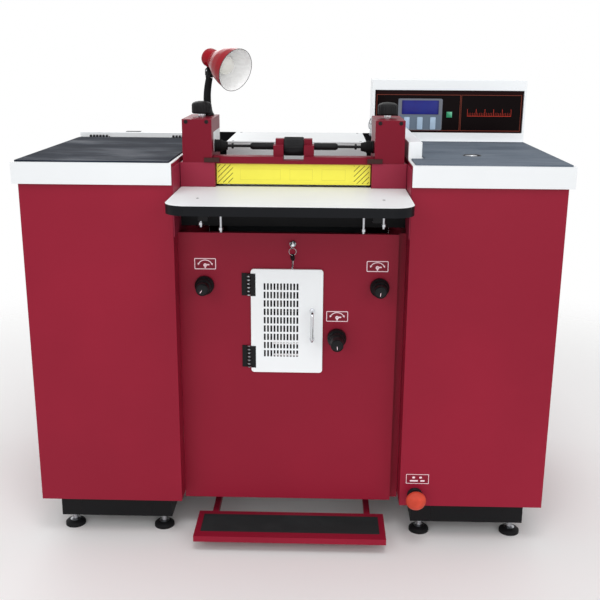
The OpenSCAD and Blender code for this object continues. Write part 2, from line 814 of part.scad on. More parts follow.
// ---------- drive ----------
motor_rise = 150;
motor_z = cab_z + motor_rise;
motor_r = 88;
motor_l = 260;
motor_y0 = column_y0 + 4;
motor_shift = 110;
motor_x = wheel_x - motor_shift;
motor_pulley_r = 50;
module drive_motor() {
    color(BLACK) placed() {
        difference() {
            bar_y(motor_x, motor_y0, motor_y0 + motor_l, motor_z, motor_r);
            bar_y(motor_x, motor_y0 - 1, motor_y0 + 40, motor_z, 12 + run);
        }
        for (s = [-1, 1])
            slab(motor_x + s * 60 - 8, motor_x + s * 60 + 8, motor_y0 + 60, motor_y0 + motor_l - 40,
                cab_z + sheet + seat, motor_z - motor_r * 0.72);
    }
}
module motor_pulley() {
    color(STEEL) placed() {
        difference() {
            bar_y(motor_x, groove_y0 + 1, groove_y0 + pulley_w, motor_z, motor_pulley_r);
            translate([motor_x, groove_y0 + pulley_w / 2, motor_z]) rotate([90, 0, 0])
                belt_groove(motor_pulley_r);
        }
        bar_y(motor_x, groove_y0 + pulley_w, motor_y0 + 38, motor_z, 12);
    }
}

// V belt: the outline of the two pulleys and the tangents between them
belt_clear = 0.4;
function tangent_turn(r0, r1, d) = asin((r0 - r1) / d);
module belt_outline(grow) {
    r0 = belt_wheel_r - belt_t + grow;
    r1 = motor_pulley_r - belt_t + grow;
    dx = motor_x - wheel_x;
    dz = motor_z - wheel_z;
    d = norm([dx, dz]);
    a = tangent_turn(r0, r1, d);
    along = atan2(dz, dx);
    translate([wheel_x, wheel_z]) rotate(along) {
        circle(r0);
        translate([d, 0]) circle(r1);
        polygon([for (p = [[0, r0, 1], [d, r1, 1], [d, r1, -1], [0, r0, -1]])
            [p[0] + p[1] * sin(a), p[2] * p[1] * cos(a)]]);
    }
}
module drive_belt() {
    mid = groove_y0 + pulley_w / 2;
    color(BLACK) placed() translate([0, mid + 4, 0]) rotate([90, 0, 0]) linear_extrude(8)
        difference() {
            belt_outline(belt_t - 1);
            belt_outline(belt_clear);
        }
}

// ---------- grinders that sharpen the lower run ----------
low_run = wheel_z - band_r;
grind_r = 50;
grind_w = 16;
grind_y = knife_y - 13;
grind_gap = 0.6;
upper_z = low_run + grind_gap + grind_r;
lower_z = low_run - knife_t - grind_gap - grind_r;
upper_x = -48;
lower_x = 32;
module grinder_motors() {
    body_r = 38;
    back = bed_y1 - 12;
    color(STEEL) placed() {
        difference() {
            union() {
                bar_x(upper_x - 150, upper_x - 20, grind_y, upper_z, body_r);
                bar_x(lower_x + grind_w + 20, lower_x + grind_w + 150, grind_y, lower_z, body_r);
            }
            bar_x(upper_x - 60, upper_x, grind_y, upper_z, 7 + run);
            bar_x(lower_x + grind_w, lower_x + grind_w + 60, grind_y, lower_z, 7 + run);
        }
        slab(-block_x + 20, block_x - 20, back, back + 12, lower_z - 60, rest_z - seat);
        slab(upper_x - 130, upper_x - 50, grind_y + body_r + seat, back - seat,
            upper_z - 18, upper_z + 18);
        slab(lower_x + grind_w + 50, lower_x + grind_w + 130, grind_y + body_r + seat,
            back - seat, lower_z - 18, lower_z + 18);
    }
}
module upper_grinding_wheel() {
    color([0.75, 0.72, 0.68]) placed() {
        bar_x(upper_x, upper_x + grind_w, grind_y, upper_z, grind_r);
        bar_x(upper_x - 58, upper_x + 1, grind_y, upper_z, 7);
    }
}
module lower_grinding_wheel() {
    color([0.75, 0.72, 0.68]) placed() {
        bar_x(lower_x, lower_x + grind_w, grind_y, lower_z, grind_r);
        bar_x(lower_x + grind_w - 1, lower_x + grind_w + 58, grind_y, lower_z, 7);
    }
}

// ---------- side tops ----------
// Left top: a shallow tray with skirts in front and outside, and its moving hinge halves
module left_lid() {
    color(WHITE) placed() {
        left_side() {
            slab(bay_x, lid_x, 0, left_top_d, top_z - sheet, top_z);
            slab(bay_x, lid_x, 0, 2, top_z - skirt_h, top_z - 1);
            slab(lid_x - 2, lid_x, 0, left_top_d, top_z - skirt_h, top_z - 1);
        }
        left_side() for (x = lid_hinge_x)
            translate([x + hinge_l, lid_hinge_y, lid_hinge_z]) rotate([0, 0, 180])
                hinge_half(0, -knuckle_r + 0.01, false);
    }
}
module left_mat() {
    color(MAT) placed() left_side()
        translate([(bay_x + lid_x) / 2, (mat_border + left_top_d - hinge_leaf - 4) / 2 + 1, top_z])
            linear_extrude(mat_t)
                round_rect(lid_x - bay_x - 2 * mat_border,
                    left_top_d - hinge_leaf - 6 - mat_border, 4);
}

// Right top: the same tray, cut back beside the cable duct, on two hidden hinge lugs
ring_x = (bay_x + lid_x) / 2 - 26;
ring_y = 220;
cup_r = 26;
ring_wire = 2;
ring_r = cup_r - 9;
ring_z = top_z + 0.6;
ring_bar = 18;
module right_lid() {
    color(WHITE) placed() difference() {
        union() {
            slab(bay_x, lid_x, 0, duct_y - 8, top_z - sheet, top_z);
            slab(notch_x, lid_x, duct_y - 9, right_top_d, top_z - sheet, top_z);
            slab(bay_x, lid_x, 0, 2, top_z - skirt_h, top_z - 1);
            slab(lid_x - 2, lid_x, 0, right_top_d, top_z - skirt_h, top_z - 1);
            for (x = [notch_x, cab_x - sheet - 4 - lug_t]) {
                slab(x, x + lug_t, pin_y - 13, pin_y + 13, pin_z, top_z - 1);
                bar_x(x, x + lug_t, pin_y, pin_z, 13);
            }
            bar_z(ring_x, ring_y, top_z - 6, top_z + mat_t + 1, cup_r);
        }
        bar_x(notch_x - 1, cab_x, pin_y, pin_z, pin_r + run);
        bar_z(ring_x, ring_y, top_z - 2, top_z + mat_t + 2, cup_r - 3);
        bar_x(ring_x - ring_bar - 0.5, ring_x + ring_bar + 0.5, ring_y + ring_r, ring_z,
            ring_wire + run);
    }
}
module right_mat() {
    x0 = bay_x + mat_border;
    x1 = lid_x - mat_border;
    y1 = right_top_d - 5;
    color(MAT) placed() difference() {
        translate([0, 0, top_z]) linear_extrude(mat_t) {
            translate([x0, mat_border + 2]) square([x1 - x0, duct_y - 14 - mat_border]);
            translate([notch_x + 4, mat_border + 3]) square([x1 - notch_x - 4, y1 - mat_border - 3]);
        }
        bar_z(ring_x, ring_y, top_z - 1, top_z + mat_t + 1, cup_r + 0.4);
    }
}

// Flush pull: a ring with a straight pivot bar whose ends turn in the rim of the cup
module ring_pull() {
    color(STEEL) placed() translate([ring_x, ring_y, ring_z]) {
        rotate_extrude() translate([ring_r, 0]) circle(ring_wire, $fn = 24);
        bar_x(-ring_bar, ring_bar, ring_r, 0, ring_wire);
    }
}

// ---------- front panel ----------
door_x1 = door_x + door_w;
door_z1 = door_z + door_h;
opening_rim = 16;
panel_t = 2;
knob_shaft_r = 6;
knob_side = 247;
knob_drop = 350;
low_knob_side = 129;
low_knob_drop = 501;
left_knob = [-knob_side, top_z - knob_drop];
right_knob = [knob_side, top_z - knob_drop - 1];
low_knob = [low_knob_side, top_z - low_knob_drop];
lock_x = 2;
lock_z = top_z - 229;
lock_r = 8;
module front_panel() {
    color(RED) placed() {
        difference() {
            slab(-bay_x + seat, panel_right, panel_y, panel_y + panel_t, panel_z, panel_top_z);
            slab(door_x + opening_rim, door_x1 - opening_rim, panel_y - 1, panel_y + panel_t + 1,
                door_z + opening_rim, door_z1 - opening_rim);
            for (p = [left_knob, right_knob, low_knob])
                bar_y(p[0], panel_y - 1, panel_y + panel_t + 1, p[1], knob_shaft_r + run);
            bar_y(lock_x, panel_y - 1, panel_y + panel_t + 1, lock_z, lock_r + run);
        }
        slab(panel_right - panel_t, panel_right, panel_y + panel_t, panel_y + 20 - seat,
            panel_z, panel_top_z);
        slab(-bay_x + seat, panel_right - panel_t - seat, panel_y + panel_t + seat, panel_y + 20,
            panel_top_z - panel_t, panel_top_z);
    }
}

// ---------- vent door ----------
door_t = 8;
slot_cols = 11;
slot_rows = 9;
slot_w = 4;
slot_h = 18;
slot_px = 9.3;
slot_pz = 24.8;
vent_x = door_x + 37 + slot_w / 2;
vent_z = door_z1 - 41 - slot_h / 2;
door_front = panel_y - seat - door_t;
module vent_door() {
    color(WHITE) placed() {
        difference() {
            round_plate(door_x, door_x1, door_front, panel_y - seat, door_z, door_z1, 9);
            round_plate(door_x + 2, door_x1 - 2, door_front + 2, panel_y, door_z + 2, door_z1 - 2, 7);
            for (i = [0 : slot_cols - 1], k = [0 : slot_rows - 1])
                slab(vent_x + i * slot_px - slot_w / 2, vent_x + i * slot_px + slot_w / 2,
                    door_front - 1, door_front + 3, vent_z - k * slot_pz - slot_h / 2,
                    vent_z - k * slot_pz + slot_h / 2);
        }
        for (z = door_hinge_z) door_moving_half(z);
    }
}
// The moving half of a door hinge: knuckles round the pin and a leaf on the door's face
module door_moving_half(z) {
    translate([door_hinge_x, door_hinge_y, z]) {
        for (i = [1 : 2 : knuckles - 1]) difference() {
            union() {
                bar_z(0, 0, i * knuckle_l + knuckle_gap, (i + 1) * knuckle_l - knuckle_gap, knuckle_r);
                slab(0, knuckle_r + 1.5, -knuckle_r, door_front - door_hinge_y,
                    i * knuckle_l + knuckle_gap, (i + 1) * knuckle_l - knuckle_gap);
            }
            bar_z(0, 0, -1, hinge_l + 1, hinge_pin_r + run);
        }
        slab(knuckle_r + 1, hinge_leaf, -knuckle_r, door_front - door_hinge_y, 0, hinge_l);
    }
}

// Bow handle of the vent door: two posts, a bar and quarter-turn bends
handle_x = door_x1 - 30;
handle_z0 = door_z + 102;
handle_l = 85;
handle_out = 30;
module door_handle() {
    r = 4;
    bend = 10;
    color(STEEL) placed() {
        for (end = [0, 1]) translate([handle_x, 0, handle_z0 + end * handle_l]) {
            bar_y(0, door_front - handle_out + bend, door_front - seat, 0, r);
            translate([0, door_front - handle_out + bend, end == 0 ? bend : -bend])
                rotate([0, 90, 0]) rotate([0, 0, end == 0 ? 270 : 180])
                    translate([0, 0, 0]) rotate_extrude(angle = 90) translate([bend, 0]) circle(r, $fn = 24);
            bar_y(0, door_front - seat - 2, door_front - seat, 0, r + 3);
        }
        bar_z(handle_x, door_front - handle_out, handle_z0 + bend, handle_z0 + handle_l - bend, r);
    }
}

// ---------- lock and keys ----------
bow_r = 11;
bow_y = panel_y - seat - 8 - bow_r;
key_hole_z = lock_z - 6;
module lock_barrel() {
    color(STEEL) placed() {
        turned_front(lock_x, panel_y + 24, lock_z, [[0, 0], [lock_r, 0], [lock_r, 24 + seat],
            [lock_r + 2, 24 + seat], [lock_r + 2, 29], [lock_r, 31], [0, 31]]);
        slab(lock_x - 7, lock_x + 30, panel_y + 24, panel_y + 27, lock_z - 7, lock_z + 7);
        difference() {
            union() {
                bar_x(lock_x - 1.2, lock_x + 1.2, bow_y, lock_z, bow_r);
                slab(lock_x - 1.2, lock_x + 1.2, bow_y, panel_y - 6, lock_z - 4, lock_z + 4);
            }
            bar_x(lock_x - 3, lock_x + 3, bow_y - 2, key_hole_z, 3);
        }
    }
}
key_ring_r = 10;
key_pivot_z = key_hole_z - 1.9;
module spare_key() {
    middle = key_pivot_z - key_ring_r;
    hole = middle - key_ring_r - 1.1;
    color(STEEL) placed() translate([lock_x, bow_y - 2, 0]) {
        translate([0, 0, middle]) rotate([90, 0, 0]) rotate_extrude()
            translate([key_ring_r, 0]) circle(0.8, $fn = 16);
        difference() {
            union() {
                bar_x(-1.2, 1.2, 0, hole - 5, 10);
                slab(-1.2, 1.2, -3, 3, hole - 40, hole - 5);
            }
            bar_x(-3, 3, 0, hole, 2.2);
        }
    }
}

// ---------- front knobs ----------
// Stepped knob with a chamfered tip on a shaft through the panel
module front_knob(p, l, step) {
    r = knob_dia / 2;
    tip = r * 0.66;
    color(BLACK) placed() {
        turned_front(p[0], panel_y - seat, p[1], [
            [0, 0], [r, 0], [r, l * 0.22], [r - 3, l * 0.27], [step, l * 0.32],
            [step, l * 0.52], [tip, l * 0.56], [tip, l - 4], [tip - 4, l], [0, l]]);
        bar_y(p[0], panel_y - seat - 1, panel_y + 42, p[1], knob_shaft_r);
    }
}
module left_front_knob() {
    front_knob(left_knob, knob_l, knob_dia / 2 - 5);
}
module right_front_knob() {
    front_knob(right_knob, knob_l, knob_dia / 2 - 5);
}
module lower_front_knob() {
    front_knob(low_knob, low_knob_l, knob_dia / 2 - 6);
}

// ---------- moving beam ----------
lug_x0 = hand_l / 2 + 0.7;
lug_x1 = hand_l / 2 + 29;
lug_top = shaft_z + 22;
mid_r = 6;
notch_floor = shaft_z - hand_dia / 2 - 8;
roller_x = block_x - 6.5;
arm_y0 = nip_y - 20;
arm_y1 = nip_y + 24;

// Beam with two stepped lugs for the cross shaft, a notch under the hand wheel and the two
// bearing arms of the gauge roller
module gauge_beam() {
    color(RED) placed() {
        difference() {
            union() {
                slab(-beam_x, beam_x, beam_y, beam_y + beam_d, block_top + seat, beam_top);
                slab(-block_x + 0.6, block_x - 0.6, beam_y, beam_y + beam_d, beam_z, block_top + 1);
                both_sides() {
                    slab(lug_x0, lug_x1, beam_y + 20, shaft_y + 15, beam_z, shaft_z + 6);
                    slab(lug_x0, lug_x1 - 5, shaft_y - 15, shaft_y + 15, beam_z, lug_top);
                }
            }
            slab(-lug_x0, lug_x0, beam_y - 1, beam_y + beam_d + 1, notch_floor, beam_top + 1);
            both_sides() bar_x(lug_x0 - 1, lug_x1 + 1, shaft_y, shaft_z, mid_r + run);
        }
        both_sides() difference() {
            slab(roller_x + 0.5, block_x - 0.6, arm_y0, arm_y1, gauge_z - 18, beam_z - 2 - 2 * seat);
            bar_x(roller_x, block_x, nip_y, gauge_z, 8 + run);
        }
    }
}

// Yellow guard: a bent sheet, upright in front of the roller and flat under the beam
module guard_plate() {
    t = 2;
    color([0.98, 0.92, 0.20]) placed() {
        slab(-block_x + 3, block_x - 3, guard_y, guard_y + t, beam_z - seat - guard_h, beam_z - seat);
        slab(-block_x + 3, block_x - 3, guard_y + t - 0.5, guard_y + 40, beam_z - seat - t, beam_z - seat);
    }
}
module gauge_roller() {
    color(STEEL) placed() {
        bar_x(-roller_x, roller_x, nip_y, gauge_z, gauge_r);
        both_sides() bar_x(roller_x - 1, block_x - 1, nip_y, gauge_z, 8);
    }
}

// Cross shaft: hand wheel, core through the lugs, chamfered sleeves, thin rods and collars
sleeve_x = lug_x1 + 67;
rod_x = pillar_x - 11;
boot_tip = pillar_x - 36;
module cross_shaft() {
    hand_r = hand_dia / 2;
    color(BLACK) placed() translate([0, shaft_y, shaft_z]) rotate([0, 90, 0])
        rotate_extrude() polygon([
            [0, -rod_x], [4, -rod_x], [4, -boot_tip + 12], [8, -boot_tip + 12],
            [8, -boot_tip + 18], [4, -boot_tip + 18], [4, -sleeve_x], [7, -sleeve_x],
            [10, -sleeve_x + 6], [10, -lug_x1 - seat], [mid_r, -lug_x1 - seat],
            [mid_r, -hand_l / 2], [hand_r - 2, -hand_l / 2], [hand_r, -hand_l / 2 + 2],
            [hand_r, hand_l / 2 - 2], [hand_r - 2, hand_l / 2], [mid_r, hand_l / 2],
            [mid_r, lug_x1 + seat], [10, lug_x1 + seat], [10, sleeve_x - 6], [7, sleeve_x],
            [4, sleeve_x], [4, boot_tip - 18], [8, boot_tip - 18], [8, boot_tip - 12],
            [4, boot_tip - 12], [4, rod_x], [0, rod_x]]);
}

// Bell-shaped boots on the pillars, hollow so that the rod can rise with the beam
module shaft_boots() {
    color(BLACK) placed() both_sides() translate([pillar_x - seat, shaft_y, shaft_z])
        rotate([0, -90, 0]) rotate_extrude() polygon([
            [9, 0], [17, 0], [18, 3], [18, 20], [16, 24], [11.5, 36], [9, 36]]);
}

// ---------- knobs on the pillars ----------
module top_knob() {
    r = top_knob_dia / 2;
    h = top_knob_h;
    translate([knob_x, knob_y, pillar_top]) rotate_extrude() polygon([
        [0, -stem_l + 4], [stem_r, -stem_l + 4], [stem_r, seat], [10, seat], [10, 9],
        [r - 3, 9], [r, 12], [r, h], [r - 3, h + 5], [r * 0.6, h + 9], [0, h + 10]]);
}
module left_top_knob() {
    color(BLACK) placed() left_side() top_knob();
}
module right_top_knob() {
    color(BLACK) placed() top_knob();
}

// ---------- feed roller ----------
// Ribbed roller: a row of narrow lands with grooves, and a journal at each end
module feed_roller() {
    land = 9;
    groove = 3;
    half = block_x - 4;
    color(STEEL) placed() {
        difference() {
            bar_x(-half, half, nip_y, feed_z, feed_r);
            for (i = [0 : floor(2 * half / (land + groove)) - 1])
                translate([-half + land + i * (land + groove), nip_y, feed_z]) rotate([0, 90, 0])
                    difference() {
                        cylinder(h = groove, r = feed_r + 1);
                        translate([0, 0, -1]) cylinder(h = groove + 2, r = feed_r - 2);
                    }
        }
        both_sides() bar_x(half - 1, block_x + journal_l - 4, nip_y, feed_z, journal_r);
    }
}

// ---------- lamp ----------
lamp_x = -255;
lamp_y = throat_y + 153;
head_x = -248;
head_z = top_z + 270;
socket_r = 27;
shade_turn = 48.5;
shade_dip = 17;

// Gooseneck on its flared foot: a bent tube swept along a smooth rise
neck_rings = 18;
neck_sides = 12;
neck_z0 = pillar_top + 26;
tilt_z = head_z - socket_r - 10;
neck_z1 = tilt_z - 20;
function neck_point(t) = [
    lamp_x + (head_x - lamp_x) * t - 3 * sin(180 * t), lamp_y, neck_z0 + (neck_z1 - neck_z0) * t];
module lamp_neck() {
    r = neck_dia / 2;
    points = [for (i = [0 : neck_rings], k = [0 : neck_sides - 1])
        let (turn = 360 * k / neck_sides, thin = r * (1 - 0.13 * i / neck_rings))
        neck_point(i / neck_rings) + thin * [cos(turn), sin(turn), 0]];
    sides = [for (i = [0 : neck_rings - 1], k = [0 : neck_sides - 1])
        let (a = i * neck_sides + k, b = i * neck_sides + (k + 1) % neck_sides)
        [a, a + neck_sides, b + neck_sides, b]];
    low = [for (k = [0 : neck_sides - 1]) k];
    high = [for (k = [neck_sides - 1 : -1 : 0]) neck_rings * neck_sides + k];
    color(BLACK) placed() {
        translate([lamp_x, lamp_y, pillar_top + seat]) rotate_extrude() polygon([
            [0, 0], [19, 0], [19, 4], [16, 8], [13.5, 16], [12.5, 25.6 - seat], [0, 25.6 - seat]]);
        polyhedron(points, concat(sides, [low, high]));
        translate([head_x, lamp_y, tilt_z]) rotate([0, 0, shade_turn]) difference() {
            union() {
                translate([0, 0, neck_z1 + seat - tilt_z]) cylinder(h = 8, r = 11);
                slab(-10, 10, -7, 7, neck_z1 + 7 - tilt_z, 0);
                bar_x(-10, 10, 0, 0, 7);
            }
            slab(-5, 5, -12, 12, -9, 12);
            bar_x(-12, 12, 0, 0, 3 + run);
        }
    }
}

// Frame of the lamp head: X' runs from the back cap to the mouth
module lamp_head_frame() {
    translate([head_x, lamp_y, head_z]) rotate([0, 0, shade_turn - 90]) rotate([0, shade_dip, 0])
        rotate([0, 90, 0]) children();
}

// Bell shade, spun from sheet, on its egg-shaped socket
module lamp_shade() {
    m = shade_dia / 2;
    t = 1.6;
    l = shade_l;
    e = socket_r;
    color([0.62, 0.05, 0.10]) placed() {
        lamp_head_frame() rotate_extrude() polygon([
            [0, -16], [e * 0.37, -15], [e * 0.7, -11], [e * 0.93, -4], [e, 4], [e, 16],
            [e * 0.94, 25], [e * 0.98, 30], [e + 4, 36], [m * 0.62, l * 0.41],
            [m * 0.79, l * 0.58], [m * 0.92, l * 0.79], [m, l], [m - t, l],
            [m * 0.92 - t, l * 0.79], [m * 0.79 - t, l * 0.58], [m * 0.62 - t, l * 0.41 + 1],
            [e + 4 - t, 38], [20, bulb_base], [0, bulb_base]]);
        translate([head_x, lamp_y, tilt_z]) rotate([0, 0, shade_turn]) {
            slab(-4.6, 4.6, -6, 6, 0, 14);
            bar_x(-4.6, 4.6, 0, 0, 6);
            bar_x(-12, 12, 0, 0, 3);
        }
    }
}

// Bulb: screw base and frosted globe
bulb_base = 34;
module lamp_bulb() {
    color([0.95, 0.95, 0.92]) placed() lamp_head_frame() translate([0, 0, bulb_base + seat])
        rotate_extrude() polygon([
            [0, 0], [13, 0], [13, 9], [17, 15], [24, 24], [27, 36], [25, 47], [18, 55],
            [9, 59], [0, 60]]);
}

// ---------- foot pedal ----------
pedal_y0 = -62;
pedal_y1 = pedal_y0 + pedal_d;
module pedal_frame() {
    rim = 22;
    t = 3;
    half = pedal_w / 2;
    color(RED) placed() {
        difference() {
            slab(-half, half, pedal_y0, pedal_y1, pedal_z - rim, pedal_z - mat_t);
            slab(-half + t, half - t, pedal_y0 + t, pedal_y1 - t, pedal_z - rim - 1, pedal_z - mat_t - t);
        }
        both_sides() difference() {
            union() {
                slab(pedal_arm_x, pedal_arm_x + pedal_arm_w, pedal_y1 + seat, pivot_y,
                    pedal_z - rim, pedal_z - mat_t);
                slab(pedal_arm_x, pedal_arm_x + pedal_arm_w, pivot_y - 16, pivot_y + 12,
                    pedal_z - rim, pivot_z);
                bar_x(pedal_arm_x, pedal_arm_x + pedal_arm_w, pivot_y, pivot_z, 14);
            }
            bar_x(pedal_arm_x - 1, pedal_arm_x + pedal_arm_w + 1, pivot_y, pivot_z, 8 + run);
        }
    }
}
module pedal_mat() {
    color(BLACK) placed()
        slab(-pedal_w / 2 + 18, pedal_w / 2 - 18, pedal_y0 + 30, pedal_y1 - 24,
            pedal_z - mat_t, pedal_z);
}

base_frame();
levelling_feet();
left_cabinet();
right_cabinet();
rear_panel();
bed_casting();
left_block();
right_block();
left_pillar();
right_pillar();
gib_bars();
front_panel();
feed_table();
table_brackets();
rear_cover();
well_covers();
left_rear_housing();
control_housing();
control_panel();
display_unit();
hinge_leaves();
e_stop_base();
knife_guides();
band_knife();
wheel_axles();
drive_motor();
drive_belt();
grinder_motors();
shaft_boots();
left_lid();
left_mat();
right_lid();
right_mat();
ring_pull();
vent_door();
door_handle();
lock_barrel();
spare_key();
left_front_knob();
right_front_knob();
lower_front_knob();
e_stop_button();
start_button();
gauge_beam();
guard_plate();
gauge_roller();
cross_shaft();
left_top_knob();
right_top_knob();
feed_roller();
left_band_wheel();
right_band_wheel();
motor_pulley();
upper_grinding_wheel();
lower_grinding_wheel();
lamp_neck();
lamp_shade();
lamp_bulb();
pedal_frame();
pedal_mat();
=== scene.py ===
"""Looks of a band knife leather splitting machine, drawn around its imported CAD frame.

Everything is in metres in the row frame: X to the operator's right, Y away from the operator,
Z up from the floor. New pieces are numpy surfaces; the CAD nodes keep their meshes and get
node-based finishes that read Object coordinates.
"""

import json
import math

import bpy
import numpy as np
from mathutils import Matrix, Vector

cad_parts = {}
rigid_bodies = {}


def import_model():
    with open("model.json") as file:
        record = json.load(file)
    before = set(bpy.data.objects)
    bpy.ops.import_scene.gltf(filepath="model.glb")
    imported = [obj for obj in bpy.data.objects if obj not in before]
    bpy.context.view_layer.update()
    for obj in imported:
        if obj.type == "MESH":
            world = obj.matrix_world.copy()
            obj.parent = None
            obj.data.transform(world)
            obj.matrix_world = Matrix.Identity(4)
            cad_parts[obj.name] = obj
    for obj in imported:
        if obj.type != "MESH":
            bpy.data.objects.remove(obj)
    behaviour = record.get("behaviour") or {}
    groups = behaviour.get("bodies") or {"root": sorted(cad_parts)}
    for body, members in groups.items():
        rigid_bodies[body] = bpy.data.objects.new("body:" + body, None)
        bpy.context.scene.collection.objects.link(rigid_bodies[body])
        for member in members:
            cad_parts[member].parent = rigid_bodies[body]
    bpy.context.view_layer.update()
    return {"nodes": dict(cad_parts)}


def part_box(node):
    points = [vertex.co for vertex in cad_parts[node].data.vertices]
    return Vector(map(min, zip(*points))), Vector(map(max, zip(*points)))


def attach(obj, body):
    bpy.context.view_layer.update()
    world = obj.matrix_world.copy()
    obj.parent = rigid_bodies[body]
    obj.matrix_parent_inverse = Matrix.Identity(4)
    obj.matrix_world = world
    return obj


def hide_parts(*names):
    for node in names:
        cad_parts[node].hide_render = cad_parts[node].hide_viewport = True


bl_info = {
    "name": "Leather splitting machine",
    "version": (1, 0, 0),
    "blender": (4, 5, 0),
    "location": "View3D > Sidebar > Splitter",
    "description": "Finishes and fine pieces of a leather splitting machine",
    "category": "Object",
}

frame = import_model()
NODES = frame["nodes"]

# Machine coordinates count y from the front of the side tops.
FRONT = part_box("left_lid")[0].y
TAU = 2 * math.pi

# Pins of the hinges with the start of their first knuckles, and the length of one knuckle.
LID_PIN = (-0.712, FRONT + 0.695, 1.125)
DOOR_PIN = (-0.122, FRONT + 0.0697, 0.527)
KNUCKLE = 0.01083
SLIT_REACH = 0.0054  # how far from the pin the bright slits between knuckles go
SLIT_START = 0.36  # how far from a knuckle's middle a slit starts, as a share of the knuckle
SLIT_METAL = 0.85  # how metallic the steel is that shows in the slits and in the ring's cup


def srgb(r, g, b):
    """A display colour of 0 to 255 per channel, as the linear colour a shader takes."""
    c = np.array([r, g, b], float) / 255
    lin = np.where(c <= 0.04045, c / 12.92, ((c + 0.055) / 1.055) ** 2.4)
    return (float(lin[0]), float(lin[1]), float(lin[2]), 1.0)


BRIGHT = srgb(214, 216, 220)


# ---------------- shader expressions


def math_method(operation, flipped=False):
    """A method that adds a Math node; flipped puts the other term first."""
    def method(self, other):
        return self.math(operation, *((other, self) if flipped else (self, other)))
    return method


class Value:
    """A shader socket that takes Python's operators; each operation adds a Math node."""

    def __init__(self, nodes, socket):
        self.nodes, self.socket = nodes, socket

    def math(self, operation, *terms):
        return self.nodes.node("ShaderNodeMath", dict(enumerate(terms)), operation=operation)

    __add__ = __radd__ = math_method("ADD")
    __sub__, __rsub__ = math_method("SUBTRACT"), math_method("SUBTRACT", True)
    __mul__, __truediv__ = math_method("MULTIPLY"), math_method("DIVIDE")
    __mod__ = math_method("FLOORED_MODULO")
    __gt__, __lt__ = math_method("GREATER_THAN"), math_method("LESS_THAN")

    def __abs__(self):
        return self.math("ABSOLUTE", self)

    def smooth(self, low, high):
        """0 below low, 1 above high, eased between."""
        inputs = {"Value": self, "From Min": low, "From Max": high}
        return self.nodes.node("ShaderNodeMapRange", inputs, interpolation_type="SMOOTHSTEP")


class Nodes:
    """The shader nodes of a material or a world, around its one shader."""

    def __init__(self, owner, shader):
        owner.use_nodes = True
        self.tree = owner.node_tree
        self.shader = self.tree.nodes[shader]

    def node(self, kind, inputs, out=0, **settings):
        """Any shader node: its settings first, then the values or links of its sockets."""
        n = self.tree.nodes.new(kind)
        for key, value in settings.items():
            setattr(n, key, value)
        for key, value in inputs.items():
            self.link(n.inputs[key], value)
        return Value(self, n.outputs[out])

    def link(self, socket, value):
        if isinstance(value, Value):
            self.tree.links.new(value.socket, socket)
        else:
            socket.default_value = value

    def set(self, name, value):
        self.link(self.shader.inputs[name], value)


class Paint(Nodes):
    """One finish: a material with a Principled shader, built from expressions."""

    def __init__(self, name, base, rough, metal=0.0, gloss=0.5):
        self.material = bpy.data.materials.new(name)
        self.material.diffuse_color = base
        super().__init__(self.material, "Principled BSDF")
        self.set("Base Color", base)
        self.set("Roughness", rough)
        self.set("Metallic", metal)
        self.set("Specular IOR Level", gloss)

    def place(self):
        """Object coordinates, which are row frame metres for every piece."""
        return self.node("ShaderNodeTexCoord", {}, "Object")

    def axes(self):
        """The x, y and z of a point as three values."""
        n = self.tree.nodes.new("ShaderNodeSeparateXYZ")
        self.link(n.inputs[0], self.place())
        return [Value(self, o) for o in n.outputs]

    def noise(self, scale, detail=3.0, rough=0.55, stretch=(1, 1, 1)):
        where = self.node("ShaderNodeMapping", {"Vector": self.place(), "Scale": stretch})
        inputs = {"Vector": where, "Scale": scale, "Detail": detail, "Roughness": rough}
        return self.node("ShaderNodeTexNoise", inputs)

    def mix(self, mask, a, b):
        """Colour a where mask is 0 and b where it is 1."""
        return self.node("ShaderNodeMix", {0: mask, 6: a, 7: b}, 2, data_type="RGBA")

    def tint(self, mask, a, b):
        """Base colour a where mask is 0 and b where it is 1."""
        self.set("Base Color", self.mix(mask, a, b))
        return self

    def over(self, mask, colour, metallic=0.0):
        """Another colour over the base colour where the mask is 1, and how metallic it is."""
        base = Value(self, self.shader.inputs["Base Color"].links[0].from_socket)
        if metallic:
            self.set("Metallic", mask * metallic)
        return self.tint(mask, base, colour)

    def rub(self, rough, noise, spread):
        """Roughness that a noise varies evenly about a middle value."""
        self.set("Roughness", rough + (noise - 0.5) * spread)

    def bump(self, height, distance, strength):
        inputs = {"Height": height, "Distance": distance, "Strength": strength}
        self.set("Normal", self.node("ShaderNodeBump", inputs))
        return self


def inside(value, low, high):
    """1 where low < value < high."""
    return (value > low) * (value < high)


def within(x, z, x0, x1, z0, z1):
    """1 in a rectangle of x and z."""
    return inside(x, x0, x1) * inside(z, z0, z1)


def frame_line(x, z, x0, x1, z0, z1, fine):
    """1 on a fine line just inside the edge of a rectangle."""
    inner = within(x, z, x0 + fine, x1 - fine, z0 + fine, z1 - fine)
    return within(x, z, x0, x1, z0, z1) * (1 - inner)


def steps(value, pitch):
    """How far a value is from the middle of its step, 0 to 0.5, for steps of one pitch."""
    return abs((value / pitch) % 1.0 - 0.5)


def slits(point, pin, along):
    """1 on the bright slits between hinge knuckles: near the pin, which runs along one axis.

    pin holds the pin's place on the two other axes and where the first knuckle starts."""
    a, b = (point[i] - pin[i] for i in range(3) if i != along)
    near = (a * a + b * b) < SLIT_REACH * SLIT_REACH
    return near * (steps(point[along] - pin[along], KNUCKLE) > SLIT_START)


def shade(colour, k):
    return tuple(min(1.0, c * k) for c in colour[:3]) + (1.0,)


# ---------------- finishes


